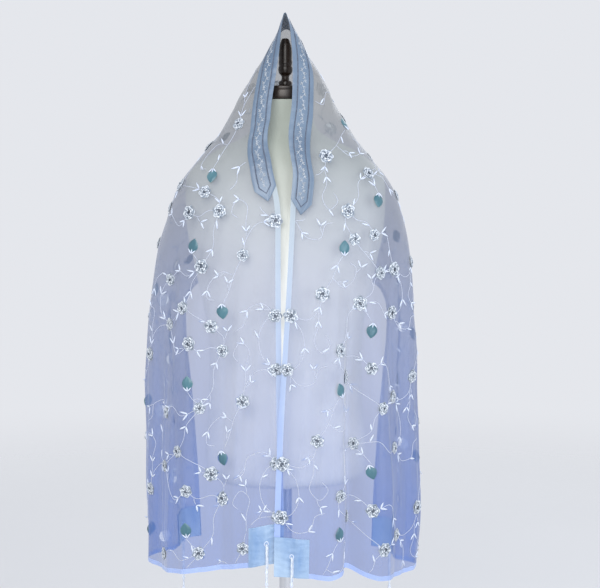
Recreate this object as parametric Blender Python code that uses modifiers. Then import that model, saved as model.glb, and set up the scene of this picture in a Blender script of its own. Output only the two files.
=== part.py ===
"""A sheer tallit prayer shawl draped over a limbless dress form with a turned wooden finial.

Metres, +Z up. The origin is the centre of the stand's underside, and -Y is the front.
The shawl is one flat rectangle: "along" runs from the peak of the long top edge down one
front edge, and "across" runs over its width, from the front edge round to the back edge.
"""

import math

import bmesh
import bpy
import numpy as np
from mathutils import Vector

# Driving dimensions of the cloth
PEAK_HEIGHT = 1.42
CELL_ALONG = 0.0245
CELLS_LEFT = 41
CELLS_RIGHT = 42
CLOTH_WIDTH = 0.56
CELLS_ACROSS = 22
WALL = 0.0012
PIECE_GAP = 0.0003
SATIN = 0.0011

# The neckband and the corner squares are counted in whole cells of the cloth
BAND_CELLS_LEFT = 13
BAND_CELLS_RIGHT = 14
BAND_CELLS_ACROSS = 2
SQUARE_CELLS = 3

# Raised ribbon flowers and leaves
MOTIF_MARGIN = 0.0027
FLOWER_HEIGHT = 0.0026
LEAF_HEIGHT = 0.0012

# Tassels at the four corners
TASSEL_CORD = 0.0017
TASSEL_SHAFT = 0.088
TASSEL_STRAND = 0.185
TASSEL_STRANDS = 8
STRAND_SIDE = 0.0009

# Dress form and stand
FORM_SIDES = 24
FINIAL_STEPS = 16
POLE_RADIUS = 0.0125

# The draped form by level. Drop is the distance below the peak. Left and right are the half
# widths of the whole drape, front and back its depth, and the edge columns say where the two
# front edges hang.
DRAPE = (
    ("drop", "left", "right", "front", "back", "left_edge", "right_edge"),
    (0.000, 0.0020, 0.0020, -0.040, -0.038, 0.0008, 0.0008),
    (0.020, 0.0115, 0.0140, -0.044, -0.002, 0.0050, 0.0070),
    (0.043, 0.0175, 0.0240, -0.048, 0.0190, 0.0075, 0.0100),
    (0.060, 0.0265, 0.0340, -0.051, 0.029, 0.0090, 0.0120),
    (0.092, 0.0490, 0.0540, -0.057, 0.043, 0.0130, 0.0138),
    (0.127, 0.0710, 0.0760, -0.064, 0.054, 0.0180, 0.0138),
    (0.162, 0.0915, 0.0915, -0.074, 0.065, 0.0235, 0.0130),
    (0.200, 0.1110, 0.1130, -0.086, 0.078, 0.0268, 0.0090),
    (0.230, 0.1310, 0.1330, -0.097, 0.090, 0.0315, 0.0065),
    (0.250, 0.1480, 0.1490, -0.104, 0.098, 0.0300, 0.0080),
    (0.275, 0.1690, 0.1685, -0.113, 0.106, 0.0240, 0.0120),
    (0.300, 0.1900, 0.1895, -0.120, 0.112, 0.0200, 0.0150),
    (0.335, 0.2090, 0.2090, -0.127, 0.117, 0.0110, 0.0115),
    (0.380, 0.2235, 0.2210, -0.132, 0.121, 0.0070, 0.0098),
    (0.440, 0.2380, 0.2300, -0.135, 0.124, 0.0070, 0.0070),
    (0.520, 0.2465, 0.2350, -0.136, 0.126, 0.0070, 0.0028),
    (0.610, 0.2535, 0.2370, -0.137, 0.127, 0.0060, -0.0030),
    (0.780, 0.2570, 0.2410, -0.139, 0.128, 0.0045, -0.0130),
    (0.920, 0.2580, 0.2485, -0.141, 0.128, 0.0020, -0.0185),
    (1.080, 0.2560, 0.2400, -0.142, 0.127, 0.0015, -0.0205),
)

# Where the long back edge hangs, by distance along the front edge: its drop below the peak
# and its distance from the middle of the back.
BACK_EDGE = (
    ("along", "drop", "reach"),
    (0.000, 0.500, 0.000),
    (0.100, 0.512, 0.080),
    (0.200, 0.498, 0.145),
    (0.300, 0.520, 0.185),
    (0.400, 0.560, 0.197),
    (0.500, 0.615, 0.196),
    (0.600, 0.685, 0.190),
    (0.700, 0.760, 0.184),
    (0.850, 0.890, 0.176),
    (1.030, 1.042, 0.170),
)

# Folds: which half (-1 left, 1 right), place across the cloth at the hem and at the top, the
# drop where the fold begins, its depth (outwards is positive) and its half width.
FOLDS = (
    ("half", "across", "lean", "start", "depth", "width"),
    (-1, 0.075, 0.050, 0.42, 0.004, 0.030),
    (-1, 0.150, 0.120, 0.36, -0.008, 0.030),
    (-1, 0.225, 0.170, 0.30, 0.008, 0.030),
    (-1, 0.330, 0.270, 0.34, -0.015, 0.030),
    (-1, 0.405, 0.360, 0.26, 0.013, 0.028),
    (-1, 0.470, 0.440, 0.18, -0.019, 0.025),
    (-1, 0.530, 0.510, 0.16, 0.010, 0.024),
    (1, 0.060, 0.050, 0.45, 0.003, 0.030),
    (1, 0.118, 0.110, 0.40, 0.011, 0.030),
    (1, 0.180, 0.160, 0.34, -0.030, 0.021),
    (1, 0.240, 0.205, 0.34, 0.012, 0.026),
    (1, 0.320, 0.260, 0.30, -0.010, 0.032),
    (1, 0.400, 0.350, 0.24, 0.013, 0.028),
    (1, 0.465, 0.440, 0.18, -0.019, 0.025),
    (1, 0.530, 0.510, 0.16, 0.010, 0.024),
)
SIDE_SAG = {-1: 0.030, 1: 0.016}
HEM_NOTCH_ACROSS = 0.180
HEM_NOTCH_RISE = 0.016
HEM_NOTCH_WIDTH = 0.028
FOLD_FULL_DEPTH_OVER = 0.45
RING_FULLNESS = 0.88

# One repeat of the embroidered cloth, in cells: 11 along and 11 across, moved on by half a
# repeat in the second half of the width. It starts anew at the peak, where the right side
# begins 6 cells into a repeat. Turn is a leaf's heading from the length of the cloth, in degrees.
REPEAT_ALONG = 11
REPEAT_ACROSS = 11
RIGHT_START = 6
MOTIFS = (
    ("along", "across", "kind", "turn"),
    (6, 0, "flower", 0),
    (10, 0, "flower", 0),
    (4, 3, "flower", 0),
    (0, 5, "leaf", 180),
    (8, 5, "flower", 0),
    (10, 6, "flower", 0),
    (4, 7, "flower", 0),
    (6, 8, "leaf", 0),
    (9, 8, "flower", 0),
    (1, 9, "flower", 0),
)

# The dress form's torso by level below the peak
TORSO = (
    ("drop", "half_width", "front", "back"),
    (0.1580, 0.050, -0.046, 0.050),
    (0.1950, 0.053, -0.049, 0.056),
    (0.2120, 0.062, -0.054, 0.064),
    (0.2300, 0.088, -0.064, 0.074),
    (0.2500, 0.1300, -0.076, 0.084),
    (0.2750, 0.1653, -0.089, 0.093),
    (0.3000, 0.1855, -0.100, 0.099),
    (0.3300, 0.1890, -0.109, 0.104),
    (0.3700, 0.1880, -0.117, 0.108),
    (0.4050, 0.1850, -0.121, 0.109),
    (0.4560, 0.1740, -0.119, 0.106),
    (0.5020, 0.1650, -0.111, 0.101),
    (0.5450, 0.1560, -0.104, 0.097),
    (0.6000, 0.1460, -0.099, 0.093),
    (0.6500, 0.1450, -0.099, 0.095),
    (0.7100, 0.1470, -0.103, 0.100),
    (0.7800, 0.1510, -0.108, 0.105),
    (0.8250, 0.1540, -0.111, 0.108),
    (0.8560, 0.1515, -0.109, 0.106),
    (0.8710, 0.1430, -0.103, 0.100),
    (0.8790, 0.1270, -0.091, 0.088),
)
TORSO_FULLNESS = 0.92

# Turned profiles, from the top down their outer side: radius and height above their foot
CAP_PROFILE = (
    (0.0, 0.0255),
    (0.0455, 0.0255),
    (0.0490, 0.0235),
    (0.0490, 0.0195),
    (0.0476, 0.0180),
    (0.0490, 0.0165),
    (0.0490, 0.0030),
    (0.0465, 0.0),
    (0.0, 0.0),
)
FINIAL_PROFILE = (
    (0.0, 0.0902),
    (0.0058, 0.0902),
    (0.0071, 0.0887),
    (0.0086, 0.0845),
    (0.0107, 0.0790),
    (0.0120, 0.0710),
    (0.0124, 0.0620),
    (0.0120, 0.0500),
    (0.0127, 0.0480),
    (0.0127, 0.0430),
    (0.0118, 0.0400),
    (0.0133, 0.0360),
    (0.0135, 0.0310),
    (0.0120, 0.0250),
    (0.0076, 0.0215),
    (0.0068, 0.0170),
    (0.0080, 0.0125),
    (0.0124, 0.0100),
    (0.0128, 0.0040),
    (0.0112, 0.0000),
    (0.0, 0.0),
)
BASE_PROFILE = (
    (0.0, 0.0480),
    (0.0220, 0.0480),
    (0.0260, 0.0440),
    (0.0280, 0.0300),
    (0.0500, 0.0240),
    (0.1600, 0.0200),
    (0.1840, 0.0170),
    (0.1900, 0.0110),
    (0.1900, 0.0030),
    (0.1870, 0.0000),
    (0.0, 0.0),
)

# Colour, roughness and metallic value of each material
MATERIALS = {
    "organza": ((0.72, 0.77, 0.90), 0.45, 0.0),
    "satin": ((0.42, 0.56, 0.78), 0.32, 0.0),
    "thread": ((0.88, 0.90, 0.94), 0.60, 0.0),
    "form_cover": ((0.80, 0.79, 0.74), 0.85, 0.0),
    "dark_wood": ((0.05, 0.030, 0.022), 0.40, 0.0),
    "steel": ((0.66, 0.67, 0.70), 0.30, 0.95),
}


def column(table, name):
    """One named column of a table whose first row holds the names."""
    place = table[0].index(name)
    return np.array([row[place] for row in table[1:]], float)


class SmoothColumn:
    """A table's column as a smooth curve that never overshoots its rows."""

    def __init__(self, table, key, name):
        self.x = column(table, key)
        self.y = column(table, name)
        steps = np.diff(self.x)
        slopes = np.diff(self.y) / steps
        self.tangent = np.zeros(len(self.x))
        self.tangent[0] = slopes[0]
        self.tangent[-1] = slopes[-1]
        for i in range(1, len(slopes)):
            if slopes[i - 1] * slopes[i] > 0:
                first = 2 * steps[i] + steps[i - 1]
                second = steps[i] + 2 * steps[i - 1]
                self.tangent[i] = (first + second) / (first / slopes[i - 1] + second / slopes[i])

    def __call__(self, value):
        value = np.clip(value, self.x[0], self.x[-1])
        i = np.clip(np.searchsorted(self.x, value) - 1, 0, len(self.x) - 2)
        step = self.x[i + 1] - self.x[i]
        t = (value - self.x[i]) / step
        return (
            self.y[i] * (1 + 2 * t) * (1 - t) ** 2
            + self.tangent[i] * step * t * (1 - t) ** 2
            + self.y[i + 1] * t**2 * (3 - 2 * t)
            + self.tangent[i + 1] * step * t**2 * (t - 1)
        )


def smooth_step(value):
    value = np.clip(value, 0.0, 1.0)
    return value * value * (3 - 2 * value)


def signed_power(value, power):
    return np.sign(value) * np.abs(value) ** power


class Drape:
    """Places a point of the flat cloth, given by half, along and across, on the draped cloth."""

    SAMPLES = 97

    def __init__(self):
        self.width = {-1: SmoothColumn(DRAPE, "drop", "left"), 1: SmoothColumn(DRAPE, "drop", "right")}
        self.front = SmoothColumn(DRAPE, "drop", "front")
        self.back = SmoothColumn(DRAPE, "drop", "back")
        self.edge = {
            -1: SmoothColumn(DRAPE, "drop", "left_edge"),
            1: SmoothColumn(DRAPE, "drop", "right_edge"),
        }
        self.edge_drop = SmoothColumn(BACK_EDGE, "along", "drop")
        self.edge_reach = SmoothColumn(BACK_EDGE, "along", "reach")
        self.sections = {}

    def ring(self, half, drop, turn):
        """The point at this level, turned from the front (0) to the middle of the back (pi)."""
        depth = (self.back(drop) - self.front(drop)) / 2
        middle = (self.back(drop) + self.front(drop)) / 2
        x = half * self.width[half](drop) * signed_power(np.sin(turn), RING_FULLNESS)
        y = middle - depth * signed_power(np.cos(turn), RING_FULLNESS)
        return np.stack([x, y, PEAK_HEIGHT - drop], axis=-1)

    def section(self, half, along):
        """The line across the cloth at this distance along the front edge, evenly spaced."""
        key = (half, round(along, 6))
        if key in self.sections:
            return self.sections[key]
        t = np.linspace(0, 1, self.SAMPLES)
        front_drop = along * 0.998
        drop = front_drop + (self.edge_drop(along) - front_drop) * t ** (1 + 0.35 * np.exp(-along / 0.15))
        drop = drop + SIDE_SAG[half] * smooth_step((along - 0.45) / 0.5) * np.sin(math.pi * t)
        width = self.width[half](drop)
        edge = self.edge[half](front_drop) / self.width[half](front_drop)
        start = math.asin(max(-1.0, min(1.0, float(signed_power(edge, 1 / RING_FULLNESS)))))
        reach = np.clip(self.edge_reach(along) / width, 0, 1) ** (1 / RING_FULLNESS)
        finish = math.pi - np.arcsin(reach)
        hurry = 1 + 13 * math.exp(-along / 0.085)
        turn = start + (finish - start) * (1 - (1 - t) ** hurry)
        points = self.ring(half, drop, turn)
        away = np.concatenate([[0], np.cumsum(np.linalg.norm(np.diff(points, axis=0), axis=1))])
        self.sections[key] = (away / away[-1], drop, turn, front_drop)
        return self.sections[key]

    def point(self, half, along, across):
        """A point of the draped cloth's middle surface, with its folds."""
        share, drops, turns, front_drop = self.section(half, along)
        t = across / CLOTH_WIDTH
        drop = float(np.interp(t, share, drops))
        turn = float(np.interp(t, share, turns))
        place = self.ring(half, np.float64(drop), np.float64(turn))
        outward = np.array([half * math.sin(turn), -math.cos(turn), 0.0])
        shift = 0.0
        for fold_half, fold_across, lean, start, depth, width in FOLDS[1:]:
            if fold_half != half:
                continue
            grown = smooth_step((drop - start) / FOLD_FULL_DEPTH_OVER)
            centre = lean + (fold_across - lean) * grown
            shift += depth * grown * math.exp(-(((across - centre) / width) ** 2))
        place = place + outward * shift
        if half > 0:
            rise = smooth_step((drop - 0.80) / 0.22)
            near = math.exp(-(((across - HEM_NOTCH_ACROSS) / HEM_NOTCH_WIDTH) ** 2))
            place[2] += HEM_NOTCH_RISE * rise * near
            # The right front edge hangs in front of the left one where they cross
            overlap = smooth_step((drop - 0.42) / 0.12) * math.exp(-across / 0.06)
            place[1] -= 0.007 * overlap
        return place

    def at_cell(self, i, j):
        """The point at cell line i along (negative on the left) and cell line j across."""
        across = j * CLOTH_WIDTH / CELLS_ACROSS
        if i == 0:
            return (self.point(-1, 0.0, across) + self.point(1, 0.0, across)) / 2
        return self.point(-1 if i < 0 else 1, abs(i) * CELL_ALONG, across)


class ClothGrid:
    """The cloth's cell corners, with outward directions scaled to keep the wall even."""

    LEAST_COSINE = 0.42

    def __init__(self, drape):
        self.columns = range(-CELLS_LEFT, CELLS_RIGHT + 1)
        self.rows = range(CELLS_ACROSS + 1)
        self.points = np.array([[drape.at_cell(i, j) for j in self.rows] for i in self.columns])
        self.offsets = self.even_offsets()

    def even_offsets(self):
        p = self.points
        first = np.cross(p[1:, 1:] - p[:-1, :-1], p[:-1, 1:] - p[1:, :-1])
        face = first / np.maximum(np.linalg.norm(first, axis=2, keepdims=True), 1e-12)
        total = np.zeros_like(p)
        for di in (0, 1):
            for dj in (0, 1):
                total[di : di + face.shape[0], dj : dj + face.shape[1]] += face
        normal = total / np.maximum(np.linalg.norm(total, axis=2, keepdims=True), 1e-12)
        least = np.ones(p.shape[:2])
        for di in (0, 1):
            for dj in (0, 1):
                window = normal[di : di + face.shape[0], dj : dj + face.shape[1]]
                part = least[di : di + face.shape[0], dj : dj + face.shape[1]]
                np.minimum(part, (window * face).sum(axis=2), out=part)
        return normal / np.maximum(least, self.LEAST_COSINE)[:, :, None]

    def at(self, i, j, out):
        """Cell corner i, j moved out from the cloth's middle surface."""
        a = i + CELLS_LEFT
        return Vector(self.points[a, j] + self.offsets[a, j] * out)


def new_material(name):
    colour, roughness, metallic = MATERIALS[name]
    material = bpy.data.materials.new(name)
    material.use_nodes = True
    shader = material.node_tree.nodes["Principled BSDF"]
    shader.inputs["Base Color"].default_value = (*colour, 1.0)
    shader.inputs["Roughness"].default_value = roughness
    shader.inputs["Metallic"].default_value = metallic
    return material


def link_mesh(name, bm, material, parts, smooth_angle=0.7):
    bmesh.ops.recalc_face_normals(bm, faces=bm.faces)
    mesh = bpy.data.meshes.new(name)
    bm.to_mesh(mesh)
    bm.free()
    mesh.shade_smooth()
    mesh.set_sharp_from_angle(angle=smooth_angle)
    mesh.materials.append(material)
    obj = bpy.data.objects.new(name, mesh)
    parts.objects.link(obj)
    return obj


def add_wall(bm, columns, rows, place, inner, outer, whole=()):
    """A closed wall over whole cells, each halved the same way so that stacked walls match.

    Outer faces of the cells in whole stay undivided. They are returned by cell.
    """
    skins = {}
    for out in (inner, outer):
        skins[out] = {(i, j): bm.verts.new(place(i, j, out)) for i in columns for j in rows}
    faces = {}
    for i in columns[:-1]:
        for j in rows[:-1]:
            corners = ((i, j), (i + 1, j), (i + 1, j + 1), (i, j + 1))
            if (i, j) in whole:
                faces[i, j] = bm.faces.new([skins[outer][c] for c in corners])
            for half in (corners[:3], (corners[0], corners[2], corners[3])):
                if (i, j) not in whole:
                    bm.faces.new([skins[outer][c] for c in half])
                bm.faces.new([skins[inner][c] for c in reversed(half)])
    rim = [(i, rows[0]) for i in columns]
    rim += [(columns[-1], j) for j in rows[1:]]
    rim += [(i, rows[-1]) for i in columns[-2::-1]]
    rim += [(columns[0], j) for j in rows[-2:0:-1]]
    for a, b in zip(rim, rim[1:] + rim[:1]):
        bm.faces.new((skins[inner][a], skins[inner][b], skins[outer][b], skins[outer][a]))
    return skins, faces


def covered(i, j):
    """True where the neckband or a corner square lies over this cell."""
    if j < BAND_CELLS_ACROSS and -BAND_CELLS_LEFT - 2 <= i < BAND_CELLS_RIGHT + 2:
        return True
    near_end = i < -CELLS_LEFT + SQUARE_CELLS or i >= CELLS_RIGHT - SQUARE_CELLS
    return near_end and (j < SQUARE_CELLS or j >= CELLS_ACROSS - SQUARE_CELLS)


def motif_cells():
    """Cell to kind for every raised flower and leaf of the whole cloth."""
    found = {}
    for i in range(-CELLS_LEFT, CELLS_RIGHT):
        start = 0 if i < 0 else RIGHT_START
        for along, across, kind, _ in MOTIFS[1:]:
            for second in (0, 1):
                j = across + second * REPEAT_ACROSS
                shift = second * REPEAT_ALONG // 2
                if (i + start - along - shift) % REPEAT_ALONG == 0 and not covered(i, j):
                    found[i, j] = kind
    return found


def make_cloth(grid, material, parts):
    """The sheer rectangle as one thin wall, with the flowers and leaves raised outside."""
    bm = bmesh.new()
    columns = list(grid.columns)
    rows = list(grid.rows)
    cells = motif_cells()
    _, faces = add_wall(bm, columns, rows, grid.at, -WALL / 2, WALL / 2, whole=cells)
    bmesh.ops.recalc_face_normals(bm, faces=bm.faces)
    for kind, height in (("flower", FLOWER_HEIGHT), ("leaf", LEAF_HEIGHT)):
        chosen = [faces[c] for c in sorted(cells) if cells[c] == kind]
        bmesh.ops.inset_individual(bm, faces=chosen, thickness=MOTIF_MARGIN, depth=height)
    return link_mesh("tallit_cloth", bm, material, parts)


def make_band(grid, material, parts):
    """The satin neckband over the long top edge, with a point at each end."""
    bm = bmesh.new()
    columns = list(range(-BAND_CELLS_LEFT, BAND_CELLS_RIGHT + 1))
    rows = list(range(BAND_CELLS_ACROSS + 1))
    inner = WALL / 2 + PIECE_GAP
    outer = inner + SATIN
    skins, _ = add_wall(bm, columns, rows, grid.at, inner, outer)
    for end, step in ((columns[0], -1), (columns[-1], 1)):
        edge = {skins[o][end, j] for o in (inner, outer) for j in rows}
        rim = [f for f in bm.faces if edge.issuperset(f.verts)]
        bmesh.ops.delete(bm, geom=rim, context="FACES")
        tip = {o: bm.verts.new(grid.at(end + step, 1, o)) for o in (inner, outer)}
        low = {o: skins[o][end, 0] for o in tip}
        mid = {o: skins[o][end, 1] for o in tip}
        high = {o: skins[o][end, 2] for o in tip}
        for o in tip:
            bm.faces.new((low[o], mid[o], tip[o]))
            bm.faces.new((mid[o], high[o], tip[o]))
        bm.faces.new((low[inner], tip[inner], tip[outer], low[outer]))
        bm.faces.new((high[inner], tip[inner], tip[outer], high[outer]))
    return link_mesh("neckband", bm, material, parts)


def corner_cells(end, edge):
    """Cell lines of one corner square. End is -1 or 1, and edge is front or back."""
    first = -CELLS_LEFT if end < 0 else CELLS_RIGHT - SQUARE_CELLS
    low = 0 if edge == "front" else CELLS_ACROSS - SQUARE_CELLS
    return list(range(first, first + SQUARE_CELLS + 1)), list(range(low, low + SQUARE_CELLS + 1))


def make_square(grid, name, end, edge, material, parts):
    bm = bmesh.new()
    columns, rows = corner_cells(end, edge)
    inner = WALL / 2 + PIECE_GAP
    add_wall(bm, columns, rows, grid.at, inner, inner + SATIN)
    return link_mesh(name, bm, material, parts)


def tassel_line(grid, end, edge):
    """Centres and radii down a tassel's cord: over the square, past the hem and the knots."""
    columns, rows = corner_cells(end, edge)
    hem = -CELLS_LEFT if end < 0 else CELLS_RIGHT
    inside = hem - end * 1
    out = WALL / 2 + 2 * PIECE_GAP + SATIN + TASSEL_CORD
    middle = [(grid.at(c, rows[1], out) + grid.at(c, rows[2], out)) / 2 for c in (inside - end, inside, hem)]
    down = Vector((0.0, 0.0, -1.0))
    eyelet = middle[0].lerp(middle[1], 0.4)
    line = [(eyelet, TASSEL_CORD * 0.7), (eyelet.lerp(middle[1], 0.4), TASSEL_CORD)]
    line += [(middle[1], TASSEL_CORD), (middle[2], TASSEL_CORD)]
    below = middle[2] + down * 0.006
    line.append((below, TASSEL_CORD))
    knots = 5
    pitch = TASSEL_SHAFT / (knots - 1)
    for k in range(knots):
        top = below + down * (0.004 + k * pitch)
        line.append((top, TASSEL_CORD * 1.05))
        line.append((top + down * 0.0035, TASSEL_CORD * 1.95))
        if k < knots - 1:
            line.append((top + down * 0.0070, TASSEL_CORD * 1.10))
    return line


def ring_of(bm, centre, direction, radius, sides):
    """A ring of vertices round a centre, square to a direction."""
    direction = direction.normalized()
    across = direction.cross(Vector((0.0, 1.0, 0.0)))
    if across.length < 0.2:
        across = direction.cross(Vector((1.0, 0.0, 0.0)))
    across.normalize()
    other = direction.cross(across)
    angles = [2 * math.pi * (k + 0.5) / sides for k in range(sides)]
    return [bm.verts.new(centre + (across * math.cos(a) + other * math.sin(a)) * radius) for a in angles]


def grow_strand(bm, face, start, turn, sway):
    """Draws one face out into a four-sided strand that hangs and spreads a little."""
    outward = Vector((math.cos(turn), math.sin(turn), 0.0))
    side = Vector((-math.sin(turn), math.cos(turn), 0.0))
    upward = Vector((0.0, 0.0, 1.0))
    corners = []
    middle = face.calc_center_median()
    for v in face.verts:
        away = v.co - middle
        corners.append((1 if away.dot(side) > 0 else -1, 1 if away.z > 0 else -1))
    steps = (0.02, 0.30, 0.64, 1.0)
    for k, share in enumerate(steps):
        face = bmesh.ops.extrude_discrete_faces(bm, faces=[face])["faces"][0]
        spread = 0.0040 + 0.0075 * share
        wave = 0.0022 * math.sin(5.0 * share + sway)
        centre = start + outward * (spread + wave) + side * wave * 0.6
        centre.z -= 0.004 + TASSEL_STRAND * share * (1 + 0.04 * math.sin(sway * 3))
        half = STRAND_SIDE * (0.75 if k == len(steps) - 1 else 1.0)
        up = upward if k == 0 else outward
        for v, (a, b) in zip(face.verts, corners):
            v.co = centre + (side * a + up * b) * half


def make_tassel(grid, name, end, edge, material, parts):
    """A knotted corner tassel: cord, five knots, and strands drawn out of the last knot."""
    bm = bmesh.new()
    line = tassel_line(grid, end, edge)
    sides = TASSEL_STRANDS
    rings = []
    for k, (centre, radius) in enumerate(line):
        before = line[max(k - 1, 0)][0]
        after = line[min(k + 1, len(line) - 1)][0]
        rings.append(ring_of(bm, centre, after - before, radius, sides))
    for a, b in zip(rings, rings[1:]):
        for k in range(sides):
            bm.faces.new((a[k], a[(k + 1) % sides], b[(k + 1) % sides], b[k]))
    bm.faces.new(rings[0])
    bm.faces.new(list(reversed(rings[-1])))
    bmesh.ops.recalc_face_normals(bm, faces=bm.faces)
    last = [f for f in bm.faces if all(v in rings[-1] + rings[-2] for v in f.verts) and len(f.verts) == 4]
    start = line[-1][0]
    for face in last:
        middle = face.calc_center_median()
        turn = math.atan2(middle.y - start.y, middle.x - start.x)
        grow_strand(bm, face, start, turn, 1.7 * turn + end)
    return link_mesh(name, bm, material, parts)


def make_torso(material, parts):
    """The limbless torso, smooth and closed, lofted through its rings."""
    bm = bmesh.new()
    width = SmoothColumn(TORSO, "drop", "half_width")
    front = SmoothColumn(TORSO, "drop", "front")
    back = SmoothColumn(TORSO, "drop", "back")
    rings = []
    for drop in column(TORSO, "drop"):
        middle = (back(drop) + front(drop)) / 2
        depth = (back(drop) - front(drop)) / 2
        ring = []
        for k in range(FORM_SIDES):
            angle = 2 * math.pi * k / FORM_SIDES
            x = width(drop) * signed_power(math.sin(angle), TORSO_FULLNESS)
            y = middle - depth * signed_power(math.cos(angle), TORSO_FULLNESS)
            ring.append(bm.verts.new((x, y, PEAK_HEIGHT - drop)))
        rings.append(ring)
    for a, b in zip(rings, rings[1:]):
        for k in range(FORM_SIDES):
            bm.faces.new((a[k], a[(k + 1) % FORM_SIDES], b[(k + 1) % FORM_SIDES], b[k]))
    bm.faces.new(rings[0])
    bm.faces.new(list(reversed(rings[-1])))
    return link_mesh("form_torso", bm, material, parts)


def make_turned(name, profile, foot, material, parts, steps):
    """A turned piece: its profile, from the top down, as a Screw about the vertical."""
    mesh = bpy.data.meshes.new(name)
    points = [(radius, 0.0, height + foot) for radius, height in profile]
    mesh.from_pydata(points, [(k, k + 1) for k in range(len(points) - 1)], [])
    mesh.materials.append(material)
    obj = bpy.data.objects.new(name, mesh)
    parts.objects.link(obj)
    screw = obj.modifiers.new("turn", "SCREW")
    screw.steps = steps
    screw.render_steps = steps
    screw.use_merge_vertices = True
    screw.merge_threshold = 0.00005
    return obj


def make_pole(foot, top, material, parts):
    bm = bmesh.new()
    bmesh.ops.create_cone(
        bm, cap_ends=True, segments=16, radius1=POLE_RADIUS, radius2=POLE_RADIUS, depth=top - foot
    )
    bmesh.ops.translate(bm, verts=bm.verts, vec=(0.0, 0.0, (top + foot) / 2))
    return link_mesh("form_pole", bm, material, parts)


def main():
    for obj in list(bpy.data.objects):
        bpy.data.objects.remove(obj)
    parts = bpy.data.collections.new("tallit_on_dress_form")
    bpy.context.scene.collection.children.link(parts)
    materials = {name: new_material(name) for name in MATERIALS}

    grid = ClothGrid(Drape())
    make_cloth(grid, materials["organza"], parts)
    make_band(grid, materials["satin"], parts)
    for side, end in (("left", -1), ("right", 1)):
        for edge in ("front", "back"):
            make_square(grid, f"corner_square_{edge}_{side}", end, edge, materials["satin"], parts)
            make_tassel(grid, f"tassel_{edge}_{side}", end, edge, materials["thread"], parts)

    torso_top = PEAK_HEIGHT - TORSO[1][0]
    torso_foot = PEAK_HEIGHT - TORSO[-1][0]
    cap_foot = torso_top + PIECE_GAP
    cap_top = cap_foot + CAP_PROFILE[0][1]
    base_top = BASE_PROFILE[0][1]
    make_torso(materials["form_cover"], parts)
    make_turned("form_neck_cap", CAP_PROFILE, cap_foot, materials["dark_wood"], parts, 28)
    make_turned("form_finial", FINIAL_PROFILE, cap_top + PIECE_GAP, materials["dark_wood"], parts, FINIAL_STEPS)
    make_turned("form_base", BASE_PROFILE, 0.0, materials["dark_wood"], parts, 36)
    make_pole(base_top + PIECE_GAP, torso_foot - PIECE_GAP, materials["steel"], parts)


main()
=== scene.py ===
"""The look of a sheer tallit prayer shawl draped over a limbless dress form.

Everything that lies on the cloth is placed by two distances on the flat shawl, in metres:
"along" runs from the peak of the long top edge down a front edge (left is negative), and
"across" runs over the width, from the front edges round to the back edge.
"""

import math
import random

import bmesh
import bpy
import numpy as np
from mathutils import Matrix, Vector


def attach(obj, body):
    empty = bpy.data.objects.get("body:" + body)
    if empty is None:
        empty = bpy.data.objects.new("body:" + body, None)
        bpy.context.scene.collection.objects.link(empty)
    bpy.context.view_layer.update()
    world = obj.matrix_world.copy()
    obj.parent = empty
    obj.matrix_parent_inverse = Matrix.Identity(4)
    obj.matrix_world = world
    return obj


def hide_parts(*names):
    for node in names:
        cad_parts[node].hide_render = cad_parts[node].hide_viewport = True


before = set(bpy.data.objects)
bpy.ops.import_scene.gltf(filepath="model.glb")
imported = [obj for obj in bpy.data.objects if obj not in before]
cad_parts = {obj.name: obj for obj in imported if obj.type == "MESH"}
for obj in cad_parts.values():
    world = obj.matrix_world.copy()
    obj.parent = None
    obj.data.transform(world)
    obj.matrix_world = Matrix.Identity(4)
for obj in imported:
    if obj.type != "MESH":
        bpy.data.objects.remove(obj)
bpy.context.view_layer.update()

# Driving dimensions, as in the part
PEAK_HEIGHT = 1.42
CELL_ALONG = 0.0245
CELLS_LEFT = 41
CELLS_RIGHT = 42
CLOTH_WIDTH = 0.56
CELLS_ACROSS = 22
WALL = 0.0012
PIECE_GAP = 0.0003
SATIN = 0.0011
BAND_CELLS_LEFT = 13
BAND_CELLS_RIGHT = 14
BAND_CELLS_ACROSS = 2
SQUARE_CELLS = 3
TASSEL_CORD = 0.0017
TASSEL_SHAFT = 0.088
TASSEL_STRAND = 0.185
TASSEL_STRANDS = 8
POLE_RADIUS = 0.0125

# What follows from them
CELL_ACROSS = CLOTH_WIDTH / CELLS_ACROSS
LEFT_END = -CELLS_LEFT * CELL_ALONG
RIGHT_END = CELLS_RIGHT * CELL_ALONG
BAND_LEFT = -BAND_CELLS_LEFT * CELL_ALONG
BAND_RIGHT = BAND_CELLS_RIGHT * CELL_ALONG
BAND_TIP = CELL_ALONG
BAND_MIDDLE = BAND_CELLS_ACROSS * CELL_ACROSS / 2
ON_CLOTH = WALL / 2 + PIECE_GAP
ON_SATIN = ON_CLOTH + SATIN

# Finer sizes that only show here
FINE_CELLS = 6
SAME_POINT = 0.00002
CORNER_ANGLE = 0.9
FRONT_HEM = 0.0125
BOTTOM_HEM = 0.0095
BACK_HEM = 0.0080
HEM_LIFT = 0.00035
LEFT_HEM_TOP = -0.300
RIGHT_HEM_TOP = 0.325
BAND_COLUMNS = 25
BAND_CREASE = 0.021
BAND_CREASE_HEIGHT = 0.00018
GROOVE_DEPTH = 0.0004
CORD_INSET = 0.0120
CORD_WIDTH = 0.0025
CORD_HEIGHT = 0.0009
CORD_SHOULDER = 0.013
SPRIG_WAVE = 0.026
SPRIG_SWING = 0.0030
SQUARE_FINE = 49
SQUARE_FACING = 0.0005
FACING_SCALE = 0.96
SQUARE_SEAM = 0.88
SEAM_WIDTH = 0.035
SEAM_DEPTH = 0.00035
SQUARE_CREASE = 0.0135
SQUARE_CREASE_HEIGHT = 0.00042
FLOWER_SIZE = 0.0235
LEAF_LENGTH = 0.0262
LEAF_WIDTH = 0.0205
STITCH_LIFT = 0.0002
STITCH_STEP = 0.0035
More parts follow.
